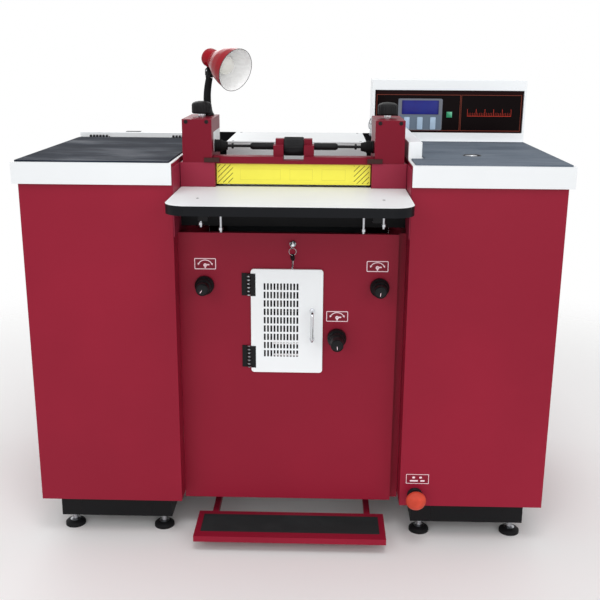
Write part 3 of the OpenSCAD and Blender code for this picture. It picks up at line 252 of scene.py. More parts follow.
def enamel(name, colour, rough=0.36, peel=0.00004, cloud=0.12, gloss=0.14):
    """Sprayed paint on sheet steel: slight orange peel, cloudy tone and soft rub marks."""
    p = Paint(name, colour, rough, gloss=gloss)
    p.tint(p.noise(1.7, 4.0).smooth(0.35, 0.7), shade(colour, 1 - cloud), colour)
    p.rub(rough, p.noise(9.0, 5.0), 0.16)
    return p.bump(p.noise(420.0, 2.0), peel, 0.5)


def white_enamel(name, colour, cloud=0.04):
    """The smoother and more even paint of the white covers."""
    return enamel(name, colour, 0.34, 0.00003, cloud)


def moulded(name, colour, rough=0.45, gloss=0.15):
    """Moulded plastic with a fine spark-eroded grain."""
    p = Paint(name, colour, rough, gloss=gloss)
    p.tint(p.noise(30.0).smooth(0.4, 0.8), colour, shade(colour, 1.3))
    p.rub(rough, p.noise(60.0), 0.15)
    return p.bump(p.noise(900.0, 2.0), 0.00005, 0.6)


def metal(name, colour, rough=0.25, brush=(1, 1, 60), scale=40.0, stain=0.2):
    """Machined or plated metal with a directional brush and faint stains."""
    p = Paint(name, colour, rough, 1.0)
    line = p.noise(scale, 4.0, 0.6, brush)
    p.tint(p.noise(6.0).smooth(0.35, 0.7), shade(colour, 1 - stain), colour)
    p.rub(rough, line, 0.25)
    return p.bump(line, 0.00003, 0.4)


def rubber(name, colour, rough=0.7):
    """Rubber with a dusty bloom and a fine pebble grain."""
    p = Paint(name, colour, rough, gloss=0.12)
    p.tint(p.noise(14.0, 5.0).smooth(0.4, 0.75), colour, shade(colour, 1.3))
    return p.bump(p.noise(700.0, 2.0), 0.00008, 0.6)


def mat_rubber(colour):
    """Side top mat: fine ribs across, rubbed smooth in patches; the right one is painted a lighter
    grey, painted light for more light on the same rubber.
    """
    p = Paint("side_mat_rubber", colour, 0.5, gloss=0.05)
    x, y, _ = p.axes()
    worn = p.noise(3.2, 5.0, 0.6, (1, 2.2, 1)).smooth(0.42, 0.72)
    streak = p.noise(26.0, 4.0, 0.6, (0.25, 3, 1)).smooth(0.35, 0.8)
    left = p.mix(streak, shade(colour, 0.75), shade(colour, 1.1))
    # painted light: the lighter greys of the right mat stand in for more light falling on the same
    # rubber
    right = p.mix(streak, srgb(98, 108, 120), srgb(118, 126, 136))
    p.tint(worn * 0.5, p.mix(x > 0.0, left, right), shade(colour, 2.2))
    p.set("Roughness", 0.72 - worn * 0.22 + streak * 0.06)
    rib_pitch = 0.0024
    return p.bump(steps(y, rib_pitch) * 2.0 + p.noise(500.0, 2.0) * 0.3, 0.00012, 0.5)


def frosted_glass():
    """Milky bulb glass: white and faintly uneven."""
    p = Paint("frosted_bulb", srgb(244, 244, 238), 0.22, gloss=0.3)
    return p.tint(p.noise(25.0).smooth(0.3, 0.8), srgb(238, 238, 230), srgb(250, 250, 246))


def button_painted_light(green):
    """A green cap with a painted glow: its colour turns paler towards its upper right corner."""
    p = Paint("lit_green_cap", green, 0.3, gloss=0.3)
    x, _, z = p.axes()
    low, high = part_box("start_button")
    # painted glow: the paler colour towards the upper right corner stands in for light
    glow = ((x - low.x) / (high.x - low.x) + (z - low.z) / (high.z - low.z)).smooth(0.7, 1.7)
    return p.tint(glow, green, srgb(120, 206, 168))


def control_face():
    """Glossy dark panel: a brown margin, two fields in thin copper lines and a plain scale."""
    p = Paint("dark_glossy_panel", srgb(16, 8, 9), 0.12, gloss=0.04)
    x, _, z = p.axes()
    low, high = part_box("control_panel")
    fine, inset = 0.0013, 0.006
    left, divide, right = low.x + inset, low.x + 0.284, high.x - inset
    rows = (low.z + inset, high.z - 0.014)
    lines = (frame_line(x, z, divide, right, *rows, fine)
             + frame_line(x, z, left, divide - fine * 2, *rows, fine))
    base = p.mix(within(x, z, left, right, *rows), srgb(34, 12, 13), srgb(14, 6, 7))
    base = p.mix(scale_marks(x, z, low, high), base, srgb(190, 60, 46))
    p.set("Roughness", 0.14 + p.noise(30.0) * 0.12)
    return p.tint(lines > 0.5, base, srgb(136, 66, 52))


def scale_marks(x, z, low, high):
    """A plain scale in the right field: even ticks on a thin line, every fifth one longer."""
    x0, x1, line = low.x + 0.306, high.x - 0.038, low.z + 0.055
    ticks, short, long, thick, overhang = 25, 0.010, 0.022, 0.0016, 0.0005
    pitch = (x1 - x0) / ticks
    tick = (steps(x - x0, pitch) > 0.42) * inside(z, line, line + short)
    fifth = (steps(x - x0, pitch * 5) > 0.476) * inside(z, line, line + long)
    bar = inside(z, line - thick, line)
    return ((tick + fifth + bar) > 0.5) * inside(x, x0 - overhang, x1 + overhang)


def display_face():
    """Grey bezel, bluer behind the three keys."""
    grey, margin = srgb(116, 120, 130), 0.004
    p = moulded("display_bezel", grey, 0.4)
    x, _, z = p.axes()
    low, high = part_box("display_unit")
    top = (low.z + high.z) / 2 - 0.002
    keys = within(x, z, low.x + margin, high.x - margin, low.z + margin, top)
    return p.tint(keys, grey, srgb(104, 118, 134))


def screen_face():
    """Blue liquid crystal screen: a darker edge and a faint unlit dot grid."""
    p = Paint("blue_screen", srgb(36, 34, 118), 0.16, gloss=0.12)
    x, _, z = p.axes()
    low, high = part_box("display_unit")
    edge = abs(x - (low.x + high.x) / 2).smooth(0.050, 0.062)
    dot_pitch = 0.0016
    dots = (steps(x, dot_pitch) > 0.42) + (steps(z, dot_pitch) > 0.42)
    lit = p.mix(p.noise(14.0, 2.0).smooth(0.3, 0.7), srgb(38, 36, 122), srgb(36, 46, 132))
    return p.tint(edge * 0.6 + dots * 0.08, lit, srgb(26, 24, 84))


def table_board(white):
    """White laminate on a black core: the colour changes just under the top face."""
    p = Paint("laminated_board", white, 0.28, gloss=0.08)
    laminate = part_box("feed_table")[1].z - 0.0012
    tone = p.mix(p.noise(3.0, 4.0).smooth(0.35, 0.7), shade(white, 0.97), white)
    p.tint(p.axes()[2] > laminate, srgb(22, 23, 26), tone)
    p.set("Roughness", 0.3 + p.noise(20.0, 4.0) * 0.12)
    return p.bump(p.noise(300.0, 2.0), 0.00003, 0.4)


def guard_face(yellow, stripe):
    """Yellow guard with thin dark slanting lines near both ends and three bare frames."""
    p = Paint("guard_yellow_enamel", yellow, 0.35, gloss=0.15)
    x, _, z = p.axes()
    low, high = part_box("guard_plate")
    middle, half = (low.x + high.x) / 2, (high.x - low.x) / 2
    side, height = abs(x - middle), z - (low.z + high.z) / 2
    ends = inside(side, half - 0.046, half - 0.003) * (abs(height) < 0.0255)
    pitch, hair = 0.0145, 0.0007
    slant = ((x - height) / pitch) % 1.0 < stripe / pitch
    frames = 0.0
    for left, right in ((-0.150, -0.036), (-0.010, 0.054), (0.080, 0.146)):
        frames = frame_line(x, height, middle + left, middle + right, -0.017, 0.014, hair) + frames
    tone = p.mix(p.noise(8.0).smooth(0.3, 0.8), shade(yellow, 0.93), yellow)
    tone = p.mix(frames * 0.35, tone, srgb(120, 110, 40))
    p.tint(ends * slant, tone, srgb(46, 40, 18))
    return p.bump(p.noise(420.0, 2.0), 0.00003, 0.4)


def grinding_stone():
    """Bonded grit: a speckled grey-brown stone."""
    p = Paint("bonded_grit", srgb(150, 140, 128), 0.9)
    grit = p.noise(900.0, 2.0)
    p.tint(grit.smooth(0.35, 0.65), srgb(120, 112, 104), srgb(182, 174, 162))
    return p.bump(grit, 0.0004, 0.9)


def lid_finish(white, black, steel):
    """White tray paint, black behind the mat, with bright slits between black knuckles."""
    p = white_enamel("white_tray_left", white)
    x, y, z = p.axes()
    mat, strip_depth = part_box("left_mat")[1], 0.0045
    p.over((y > mat.y) * (z > mat.z - strip_depth), black)
    return p.over(slits((x, y, z), LID_PIN, 0), steel, SLIT_METAL)


def rear_housing_finish(white, black):
    """White paint; the sunk strip under the hinge leaves is black."""
    p = white_enamel("white_rear_housing", white)
    _, y, z = p.axes()
    back, low, high = FRONT + 0.7192, 1.112, 1.1204
    return p.over((y < back) * inside(z, low, high), black)


def right_lid_finish(white, steel):
    """White tray paint; the ring cup is steel darkened by painted shade for the shade inside the
    recess.
    """
    p = white_enamel("white_tray_right", white)
    x, y, z = p.axes()
    low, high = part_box("ring_pull")
    dx, dy = x - (low.x + high.x) / 2, y - (low.y + high.y) / 2
    cup_radius, cup_floor = 0.0266, 1.10
    shaded_cup = (dx * dx + dy * dy < cup_radius**2) * (z > cup_floor)
    # painted shade: the cup's steel is darkened to a fifth for the shade inside the recess
    return p.over(shaded_cup, shade(steel, 0.2), SLIT_METAL)


def leaf_finish(black, steel):
    """Black hinge leaves with bright slits between their knuckles."""
    p = enamel("black_hinge_leaves", black, 0.42)
    point = p.axes()
    bright = (slits(point, LID_PIN, 0) + slits(point, DOOR_PIN, 2)) > 0.5
    return p.over(bright, steel, SLIT_METAL)


def door_finish(white, black, steel):
    """White door paint, with painted shade inside the vent slots and round their edges; black hinge
    halves with bright slits.
    """
    p = white_enamel("white_door_enamel", white, 0.03)
    point = x, y, z = p.axes()
    low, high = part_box("vent_door")
    leaf_thick, leaf_wide, knuckle_wide = 0.0081, 0.0245, 0.0105
    leaf = (y < high.y - leaf_thick) * (x < low.x + leaf_wide)
    hinge = (leaf + (x < low.x + knuckle_wide)) > 0.5
    # slots: middle of the first one, pitch, half width and height of the dark mark, 11 columns and
    # 9 rows; the dark mark reaches about half a millimetre past each slot's edge as a painted
    # shadow lip
    first, top, across, down = -0.077, high.z - 0.050, 0.0093, 0.0248
    shaded_half_wide, shaded_half_high, columns, rows, inner_face = 0.0026, 0.0095, 11, 9, high.y - 0.0063
    left, upper = first - across / 2, top + down / 2
    grid = within(x, z, left, left + across * columns, upper - down * rows, upper)
    slot = ((steps(x - left, across) < shaded_half_wide / across)
            * (steps(z - upper, down) < shaded_half_high / down))
    # painted shade: black on the slot walls and on a thin lip round each slot, for the shade inside
    # the slots
    p.over((hinge + slot * grid * (y < inner_face)) > 0.5, black)
    return p.over(slits(point, DOOR_PIN, 2), steel, SLIT_METAL)


def rear_panel_finish(red):
    """Red outside; the inner face is painted dark, painted shade for the inside of the machine."""
    p = enamel("rear_panel_enamel", red)
    # painted shade: the inner face is dark so the inside of the machine reads as shade through the
    # vent slots
    return p.over(p.axes()[1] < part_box("rear_panel")[1].y - 0.0015, srgb(26, 14, 16))


def bracket_finish(steel, black):
    """Black arms with bright studs and nuts between them."""
    p = Paint("bracket_black_and_studs", black, 0.45, gloss=0.15)
    x, y, z = p.axes()
    side, arm_thick = abs(x), 0.0105
    stud = (inside(side, 0.187, 0.207) + inside(side, 0.242, 0.262)) > 0.5
    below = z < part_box("table_brackets")[1].z - arm_thick
    bright = stud * inside(y, FRONT + 0.050, FRONT + 0.070) * below
    p.tint(bright, black, steel)
    p.set("Metallic", bright)
    p.set("Roughness", 0.45 - bright * 0.15)
    return p.bump(p.noise(300.0), 0.0001, 0.4)


def feet_finish(steel, black):
    """Black rubber pads under bright threaded stems."""
    p = Paint("levelling_feet", black, 0.6, gloss=0.15)
    z = p.axes()[2]
    pad_top, thread_pitch = 0.0165, 0.0016
    stem = z > pad_top
    p.tint(stem, black, steel)
    p.set("Metallic", stem)
    p.set("Roughness", 0.62 - stem * 0.3)
    return p.bump(steps(z, thread_pitch) * stem, 0.0003, 0.8)


def cabinet_finish(red, black):
    """Red cabinet paint; the inlet gland under the floor is black plastic."""
    p = enamel("wine_red_enamel_right", red)
    x, _, z = p.axes()
    return p.over(inside(x, 0.48, 0.52) * (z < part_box("left_cabinet")[0].z - 0.0002), black)


def band_finish(steel):
    """Blued spring steel with a bright ground edge in front."""
    p = Paint("band_steel", steel, 0.3, 1.0)
    ground = 0.0035
    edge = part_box("band_knife")[0].y + ground
    streak = p.noise(8.0, 4.0, 0.6, (1, 30, 1))
    blue = p.mix(streak.smooth(0.3, 0.7), srgb(120, 124, 136), srgb(150, 152, 158))
    p.set("Roughness", 0.2 + streak * 0.25)
    return p.tint(p.axes()[1] < edge, blue, BRIGHT)


# ---------------- surfaces
# Shapes are pairs of points and faces, in machine millimetres.

SHARP = math.radians(38)  # edges of new pieces that turn more than this stay sharp
SOFTENED = math.radians(40)  # edges of CAD nodes that turn more than this get a bevel
SAME_POINT = 0.00001  # metres; points nearer than this are joined before the bevel


def piece(name, parts, slot, *stands_for):
    """One object from parts of (shape, finish) and the CAD nodes it stands for; the slot argument
    is not used.

    It rides with the body of those nodes, or with the machine if it stands for none. A finish
    is a name, or one name for each face. Points become row frame metres as x / 1000,
    FRONT + y / 1000, z / 1000."""
    points, faces, finishes, start = [], [], [], 0
    for (verts, quads), finish in parts:
        points.append(verts)
        faces += [[int(i) + start for i in quad] for quad in quads]
        finishes += [finish] * len(quads) if isinstance(finish, str) else list(finish)
        start += len(verts)
    names = list(dict.fromkeys(finishes))
    mesh = bpy.data.meshes.new(name)
    mesh.from_pydata((np.concatenate(points) / 1000 + (0, FRONT, 0)).tolist(), [], faces)
    for finish in names:
        mesh.materials.append(PAINTS[finish].material)
    index = [names.index(f) for f in finishes]
    mesh.polygons.foreach_set("material_index", np.array(index, np.int32))
    mesh.polygons.foreach_set("use_smooth", np.full(len(mesh.polygons), True))
    mesh.update()
    mesh.set_sharp_from_angle(angle=SHARP)
    obj = bpy.data.objects.new(name, mesh)
    bpy.context.scene.collection.objects.link(obj)
    body = "machine"
    if stands_for:
        body = NODES[stands_for[0]].parent.name.removeprefix("body:")
        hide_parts(*stands_for)
    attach(obj, body)
    return obj


def machine_box(node):
    """The low corner, high corner and middle of a CAD node, in machine millimetres."""
    low, high = ((np.array(c) - (0, FRONT, 0)) * 1000 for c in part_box(node))
    return low, high, (low + high) / 2


def tube(rings, loop=False):
    """A skin over a stack of rings, an array (rings, points, 3).

    Ring i, place j is joined to ring i+1, place j+1 by quads. Both ends are closed by one face
    each, or the last ring is joined to the first."""
    rings = np.asarray(rings, float)
    rows, cols = rings.shape[:2]
    i, j = np.meshgrid(np.arange(rows if loop else rows - 1), np.arange(cols), indexing="ij")
    k, n = (j + 1) % cols, (i + 1) % rows
    quads = np.stack([i * cols + j, i * cols + k, n * cols + k, n * cols + j], -1)
    faces = quads.reshape(-1, 4).tolist()
    if not loop:
        faces += [list(range(cols))[::-1], list(range((rows - 1) * cols, rows * cols))]
    return rings.reshape(-1, 3), faces


def turned(profile, origin, axis, sides, *bands, flute=None):
    """A turned shape and the finish of each face; a band is its first ring and its finish."""
    shape = lathe(profile, origin, axis, sides, flute)
    rows = np.concatenate([np.arange(len(shape[1]) - 2) // sides, [0, len(shape[1])]])
    place = np.searchsorted([first for first, _ in bands], rows, side="right") - 1
    return shape, [bands[k][1] for k in place]


def basis(axis):
    """Two unit vectors square to the axis, so that u, v and axis are right-handed."""
    w = np.array(axis, float) / np.linalg.norm(axis)
    other = np.array([0, 0, 1.0]) if abs(w[2]) < 0.9 else np.array([1.0, 0, 0])
    u = np.cross(other, w)
    u /= np.linalg.norm(u)
    return u, np.cross(w, u), w


def lathe(profile, origin, axis, sides=64, flute=None, loop=False):
    """A profile of (radius, distance) turned about an axis from origin.

    Point (i, a) = origin + d_i * w + r_i * f * (cos a * u + sin a * v), where f is 1 or the
    flute function of radius, distance and angle."""
    profile = np.asarray(profile, float)
    u, v, w = basis(axis)
    a = np.linspace(0, TAU, sides, endpoint=False)
    circle = np.cos(a)[:, None] * u + np.sin(a)[:, None] * v
    r, d = profile[:, :1], profile[:, 1:]
    wide = r * (flute(r, d, a[None, :]) if flute else np.ones((1, sides)))
    return tube(np.asarray(origin) + d[..., None] * w + wide[..., None] * circle[None], loop)


def rounded(profile, radius=0.8, steps=3):
    """The profile with each inner corner blended.

    A corner P with neighbours A and B becomes the quadratic curve from P towards A to P
    towards B: (1-t)^2 * PA + 2t(1-t) * P + t^2 * PB."""
    p = np.asarray(profile, float)
    t = np.linspace(0, 1, steps + 1)[:, None]
    out = [p[:1]]
    for a, c, b in zip(p[:-2], p[1:-1], p[2:]):
        la, lb = np.linalg.norm(a - c), np.linalg.norm(b - c)
        k = min(radius, la * 0.45, lb * 0.45)
        pa, pb = c + (a - c) * k / max(la, 1e-9), c + (b - c) * k / max(lb, 1e-9)
        out.append((1 - t) ** 2 * pa + 2 * t * (1 - t) * c + t**2 * pb)
    out.append(p[-1:])
    return np.concatenate(out)


def outline(w, h, r, n=5):
    """Corner-rounded rectangle, anticlockwise from the right side.

    Each corner is a quarter circle of n+1 points about (+-(w/2-r), +-(h/2-r))."""
    r = min(r, w / 2 - 0.001, h / 2 - 0.001)
    a = np.linspace(0, math.pi / 2, n + 1)
    corners = [(1, 1, 0), (-1, 1, 1), (-1, -1, 2), (1, -1, 3)]
    return np.concatenate([arc(r, a + q * math.pi / 2) + (sx * (w / 2 - r), sy * (h / 2 - r))
                           for sx, sy, q in corners])


def arc(r, a):
    """Flat points on a circle at the angles a: r * (cos a, sin a)."""
    return np.stack([r * np.cos(a), r * np.sin(a)], -1)


def disc(r, n=24, shift=(0, 0)):
    """A circle of n points about shift, anticlockwise: shift + r * (cos a, sin a)."""
    return arc(r, np.linspace(0, TAU, n, endpoint=False)) + shift


def laid(flat, origin, right, up, lift):
    """Flat points put in space: origin + x * right + y * up + lift * (right x up)."""
    right, up = np.array(right, float), np.array(up, float)
    return np.asarray(origin) + flat[:, :1] * right + flat[:, 1:] * up + lift * np.cross(right, up)


def pad(centre, right, up, w, h, t, r, edge=0.3):
    """A flat pad with soft edges: rings of a rounded rectangle, stepped in near the front.

    The step in is edge * (1 - cos k) where the depth is t - edge + edge * sin k."""
    k = np.linspace(0, math.pi / 2, 4)
    insets = np.concatenate([[0.0], edge * (1 - np.cos(k))])
    depths = np.concatenate([[0.0], t - edge + edge * np.sin(k)])
    return tube([laid(outline(w - 2 * i, h - 2 * i, max(r - i, 0.01)), centre, right, up, d)
                 for i, d in zip(insets, depths)])


def prism(flat, origin, right, up, t):
    """A flat outline given a thickness: one ring at the back and one at the front."""
    return tube([laid(np.asarray(flat, float), origin, right, up, d) for d in (0, t)])


def washer(outer, inner, origin, right, up, t):
    """A plate with one hole: rings outer back, outer front, inner front, inner back, in a loop."""
    return tube([laid(flat, origin, right, up, d)
                 for flat, d in ((outer, 0), (outer, t), (inner, t), (inner, 0))], True)


def ribbon(path, width):
    """The outline of a flat line of some width: the path moved both ways along its normal."""
    path = np.asarray(path, float)
    along = np.gradient(path, axis=0)
    along /= np.linalg.norm(along, axis=1)[:, None]
    side = np.stack([along[:, 1], -along[:, 0]], -1) * width / 2
    return np.concatenate([path + side, (path - side)[::-1]])


def sweep(path, radius, sides=14, loop=False):
    """A round bar along a path: ring i = path_i + radius_i * (cos a * n_i + sin a * b_i).

    n is carried along the path by projection, so that it does not twist."""
    path = np.asarray(path, float)
    radius = np.broadcast_to(np.asarray(radius, float), (len(path),))
    tangent = np.roll(path, -1, 0) - np.roll(path, 1, 0) if loop else np.gradient(path, axis=0)
    tangent /= np.linalg.norm(tangent, axis=1)[:, None]
    a = np.linspace(0, TAU, sides, endpoint=False)
    n = basis(tangent[0])[0]
    rings = []
    for p, t, r in zip(path, tangent, radius):
        n = n - (n @ t) * t
        n /= np.linalg.norm(n)
        rings.append(p + r * (np.cos(a)[:, None] * n + np.sin(a)[:, None] * np.cross(t, n)))
    return tube(rings, loop)


def hoop(centre, axis, radius, wire, steps=48):
    """A wire ring: the path centre + radius * (cos a * u + sin a * v), swept in a loop."""
    u, v, _ = basis(axis)
    flat = disc(radius, steps)
    return sweep(np.asarray(centre) + flat[:, :1] * u + flat[:, 1:] * v, wire, 12, True)


def socket_screw(place, axis, r, h):
    """A screw head with a six-sided recess: inside half its radius the rings are hexagons."""
    def hexagon(radius, distance, a):
        six = math.cos(math.pi / 6) / np.cos((a % (math.pi / 3)) - math.pi / 6)
        return np.where(radius < r * 0.55, six, 1.0)
    profile = [(r, 0), (r, h * 0.7), (r * 0.9, h), (r * 0.52, h), (r * 0.5, h * 0.9),
               (r * 0.5, h * 0.25)]
    return lathe(profile, place, axis, 24, hexagon)


def soften(node, width):
    """A bevel on a CAD node's sharp edges; its mesh stays as it is."""
    obj = NODES[node]
    weld = obj.modifiers.new("join", "WELD")
    weld.merge_threshold = SAME_POINT
    bevel = obj.modifiers.new("soft edges", "BEVEL")
    bevel.width, bevel.segments = width, 2
    bevel.limit_method, bevel.angle_limit = "ANGLE", SOFTENED


# ---------------- settings


def colour_property(name, words, value):
    return bpy.props.FloatVectorProperty(
        name=name, description=words, subtype="COLOR", size=4, min=0.0, max=1.0, default=value)


def length_property(name, words, value):
    return bpy.props.FloatProperty(
        name=name, description=words, subtype="DISTANCE", unit="LENGTH", min=0.0, default=value)


class SplitterColours(bpy.types.PropertyGroup):
    """Colours of the painted and moulded surfaces"""

    red: colour_property("Machine red", "Paint of the cabinets and castings", srgb(147, 28, 51))
    white: colour_property("White", "Paint of the tops and covers", srgb(236, 239, 241))
    black: colour_property("Black", "Moulded knobs and black paint", srgb(22, 22, 24))
    mat: colour_property("Mats", "Rubber mats on the side tops", srgb(22, 30, 43))
    yellow: colour_property("Guard yellow", "Paint of the roller guard", srgb(247, 239, 88))
    lamp: colour_property("Lamp red", "Glossy enamel of the lamp shade", srgb(154, 14, 30))
    stop: colour_property("Stop red", "Emergency stop button", srgb(196, 70, 52))
    green: colour_property("Start green", "Lit start button", srgb(24, 138, 92))
    steel: colour_property("Steel", "Machined and plated steel", srgb(176, 178, 182))
    marks: colour_property("Marks", "Pale lines of the symbol plates", srgb(246, 214, 222))


class SplitterSizes(bpy.types.PropertyGroup):
    """Sizes of the fine pieces"""

    edge: length_property("Sheet edge", "Radius of the folded edges of the painted sheets", 0.0015)
    stripe: length_property("Stripe", "Width of one dark stripe on the guard", 0.0023)
    flute: length_property("Flute", "Depth of the flutes in the pillar knobs", 0.0013)
    knurl: length_property("Knurl", "Depth of the knurl on the hand wheel", 0.0005)
    rib: length_property("Pedal rib", "Pitch of the ribs of the pedal mat", 0.006)
    camera_lens: bpy.props.FloatProperty(
        name="Lens", description="Focal length of the camera", unit="CAMERA", min=1.0, default=53.4)


PAINTS = {}


def mix_paints(colours, sizes):
    """All finishes of the machine, by name; one named like a CAD node is that node's own."""
    red, white, black = colours.red[:], colours.white[:], colours.black[:]
    # painted light: the white paint brightened by 1.13, for the control housing, rear housing and
    # door, which get less light
    steel, painted_light_white = colours.steel[:], shade(white, 1.13)
    PAINTS.update({
        "red": enamel("wine_red_enamel", red),
        # painted shade: the pillars and gauge beam get a darker copy of the machine red for the
        # lower light on them
        "pillar_red_painted_shade": enamel("pillar_red_enamel", shade(red, 0.68), 0.42, 0.0002, 0.16, 0.1),
        # painted sheen: the blocks get a lighter, pinker red than the machine red for light
        # glancing off their paint
        "cast_red": enamel("cast_red_enamel", srgb(150, 44, 66), 0.42, 0.0002, 0.12),
        # painted shade: the white paint darkened to 0.93, set for the rear cover, which catches
        # more light; the pillar plate shares it
        "white": white_enamel("white_enamel", shade(white, 0.93), 0.02),
        "control_housing": white_enamel("white_cover_enamel", painted_light_white, 0.02),
        "black_paint": enamel("black_enamel", black, 0.42),
        "well_covers": enamel("dull_black_sheet", shade(black, 0.8), 0.7, gloss=0.0),
        "black": moulded("black_moulding", black),
        "rubber": rubber("black_rubber", srgb(22, 22, 23)),
        "mat": mat_rubber(colours.mat[:]),
        "tread": rubber("pedal_rubber", srgb(38, 41, 42), 0.6),
        "steel": metal("machined_steel", steel),
        "turned": metal("turned_steel", steel, 0.3, (60, 1, 1)),
        "chrome": metal("bright_chrome", BRIGHT, 0.12, (1, 1, 4), 20.0, 0.06),
        "dark_metal": metal("dark_screw_steel", srgb(60, 58, 58), 0.45),
        "gib_bars": enamel("brown_gib_paint", srgb(62, 36, 34), 0.5, 0.0001),
        "lamp_red": enamel("lamp_enamel", colours.lamp[:], 0.14, 0.00001, 0.05, 0.12),
        "lamp_white": enamel("lamp_inside", srgb(254, 254, 254), 0.3, 0.00002, 0.0, 0.3),
        "lamp_rim": moulded("lamp_rim_bead", srgb(70, 66, 70), 0.35),
        "stop": moulded("stop_red_plastic", colours.stop[:], 0.35),
        "motor": enamel("motor_casting", srgb(48, 52, 56), 0.5, 0.0003, 0.3),
        "bed_casting": enamel("black_casting", srgb(24, 24, 26), 0.55, 0.0003, 0.3),
        "marks": moulded("pale_mark_ink", colours.marks[:], 0.5),
        "plate_red": enamel("symbol_plate_field", shade(red, 0.8), 0.34),
        "bare_plate": moulded("bare_grey_plate", srgb(84, 84, 88), 0.6, gloss=0.0),
        "key": moulded("pale_key_pad", srgb(168, 190, 212), 0.4),
        "drive_belt": rubber("belt_rubber", srgb(22, 22, 22)),
        "frosted": frosted_glass(),
        "start_button": button_painted_light(colours.green[:]),
        "control_panel": control_face(),
        "display_unit": display_face(),
        "screen": screen_face(),
        "feed_table": table_board(white),
        "guard_plate": guard_face(colours.yellow[:], sizes.stripe),
        "stone": grinding_stone(),
        "left_lid": lid_finish(white, black, steel),
        "right_lid": right_lid_finish(white, steel),
        "left_rear_housing": rear_housing_finish(painted_light_white, black),
        "hinge_leaves": leaf_finish(black, steel),
        "vent_door": door_finish(painted_light_white, black, steel),
        "table_brackets": bracket_finish(steel, black),
        "levelling_feet": feet_finish(steel, black),
        "right_cabinet": cabinet_finish(red, black),
        "rear_panel": rear_panel_finish(red),
        "band_knife": band_finish(steel),
    })


# ---------------- pieces

UP, RIGHT, TO_FRONT, TO_BACK = (0, 0, 1), (1, 0, 0), (0, -1, 0), (0, 1, 0)

# Finish: the CAD nodes that share it and keep their own mesh under it.
FINISHES = {
    "red": ["left_cabinet", "front_panel", "pedal_frame"],
    "cast_red": ["left_block", "right_block"],
    "pillar_red_painted_shade": ["left_pillar", "right_pillar", "gauge_beam"],
    "white": ["rear_cover"],
    "black_paint": ["base_frame"],
    "black": ["e_stop_base"],
    "steel": ["knife_guides", "wheel_axles"],
    "turned": ["gauge_roller", "feed_roller", "left_band_wheel", "right_band_wheel",
               "motor_pulley"],
    "motor": ["drive_motor", "grinder_motors"],
    "mat": ["left_mat", "right_mat"],
    "chrome": ["ring_pull", "door_handle"],
    "stone": ["upper_grinding_wheel", "lower_grinding_wheel"],
}
# Bevel in sheet edges: the CAD nodes whose edges get it.
SOFT_EDGES = {
    1.0: ["left_lid", "right_lid", "control_housing", "left_rear_housing", "rear_cover"],
    0.6: ["left_cabinet", "right_cabinet", "left_pillar", "right_pillar", "left_block",
          "right_block", "gauge_beam", "pedal_frame"],
}


class SplitterPiece:
    """Shared part of the operators: finishes are made once, on first use."""

    bl_options = {"REGISTER", "UNDO"}

    def execute(self, context):
        sizes = context.scene.splitter_sizes
        if not PAINTS:
            mix_paints(context.scene.splitter_colours, sizes)
        self.make(sizes)
        return {"FINISHED"}


class PaintFrame(SplitterPiece, bpy.types.Operator):
    """Give every CAD node that stays in view its finish and its soft edges"""

    bl_idname = "splitter.paint_frame"
    bl_label = "Paint the frame"

    def make(self, sizes):
        own = {node: [node] for node in NODES if node in PAINTS}
        for finish, nodes in {**FINISHES, **own}.items():
            for node in nodes:
                mesh = NODES[node].data
                mesh.materials.clear()
                mesh.materials.append(PAINTS[finish].material)
        for share, nodes in SOFT_EDGES.items():
            for node in nodes:
                soften(node, sizes.edge * share)


class FrontKnobs(SplitterPiece, bpy.types.Operator):
    """Stepped knobs of the front panel, with ribs, a pointer line and a shaft"""

    bl_idname = "splitter.front_knobs"
    bl_label = "Front knobs"

    def make(self, sizes):
        base = machine_box("front_panel")[0][1] - 0.3
        knobs = (("left", -0.6, 0.815), ("right", -0.1, 0.815), ("lower", 0.1, 0.78))
        for name, turn, wide in knobs:
            node = name + "_front_knob"
            low, high, (x, _, z) = machine_box(node)
            r, long = (high[0] - low[0]) / 2, base - low[1]
            tip, step = r * 0.66, r * wide
            shaft = [(6, base - high[1]), (6, 0)]
            head = rounded([(6, 0), (r - 1.5, 0), (r, 1.5), (r, 0.22 * long), (r - 3, 0.27 * long),
                            (step, 0.32 * long), (step, 0.5 * long), (tip, 0.56 * long),
                            (tip, long - 4), (tip - 4, long), (tip - 5.5, long),
                            (tip - 6.5, long - 1), (1, long - 1)], 1.2)
            profile = np.concatenate([shaft, head[1:]])

            def ribs(radius, distance, a):
                grip = (distance > 0.58 * long) * (distance < long - 4.5)
                rim = (distance > 2) * (distance < 0.21 * long)
                return 1 - (0.018 * grip + 0.010 * rim) * (0.5 + 0.5 * np.cos(30 * a))

            body = turned(profile, (x, base, z), TO_FRONT, 120, (0, "steel"), (2, "black"),
                          flute=ribs)
            across = (math.cos(turn), 0, math.sin(turn))
            down = (math.sin(turn), 0, -math.cos(turn))
            place = np.array([x, low[1] + 1.05, z]) + np.array(down) * (tip - 6.5) * 0.5
            line = pad(place, (-across[0], 0, -across[2]), down, 1.8, tip - 8, 0.8, 0.8, 0.2)
            piece("knob_" + name, [body, (line, "marks")], "black_plastic", node)


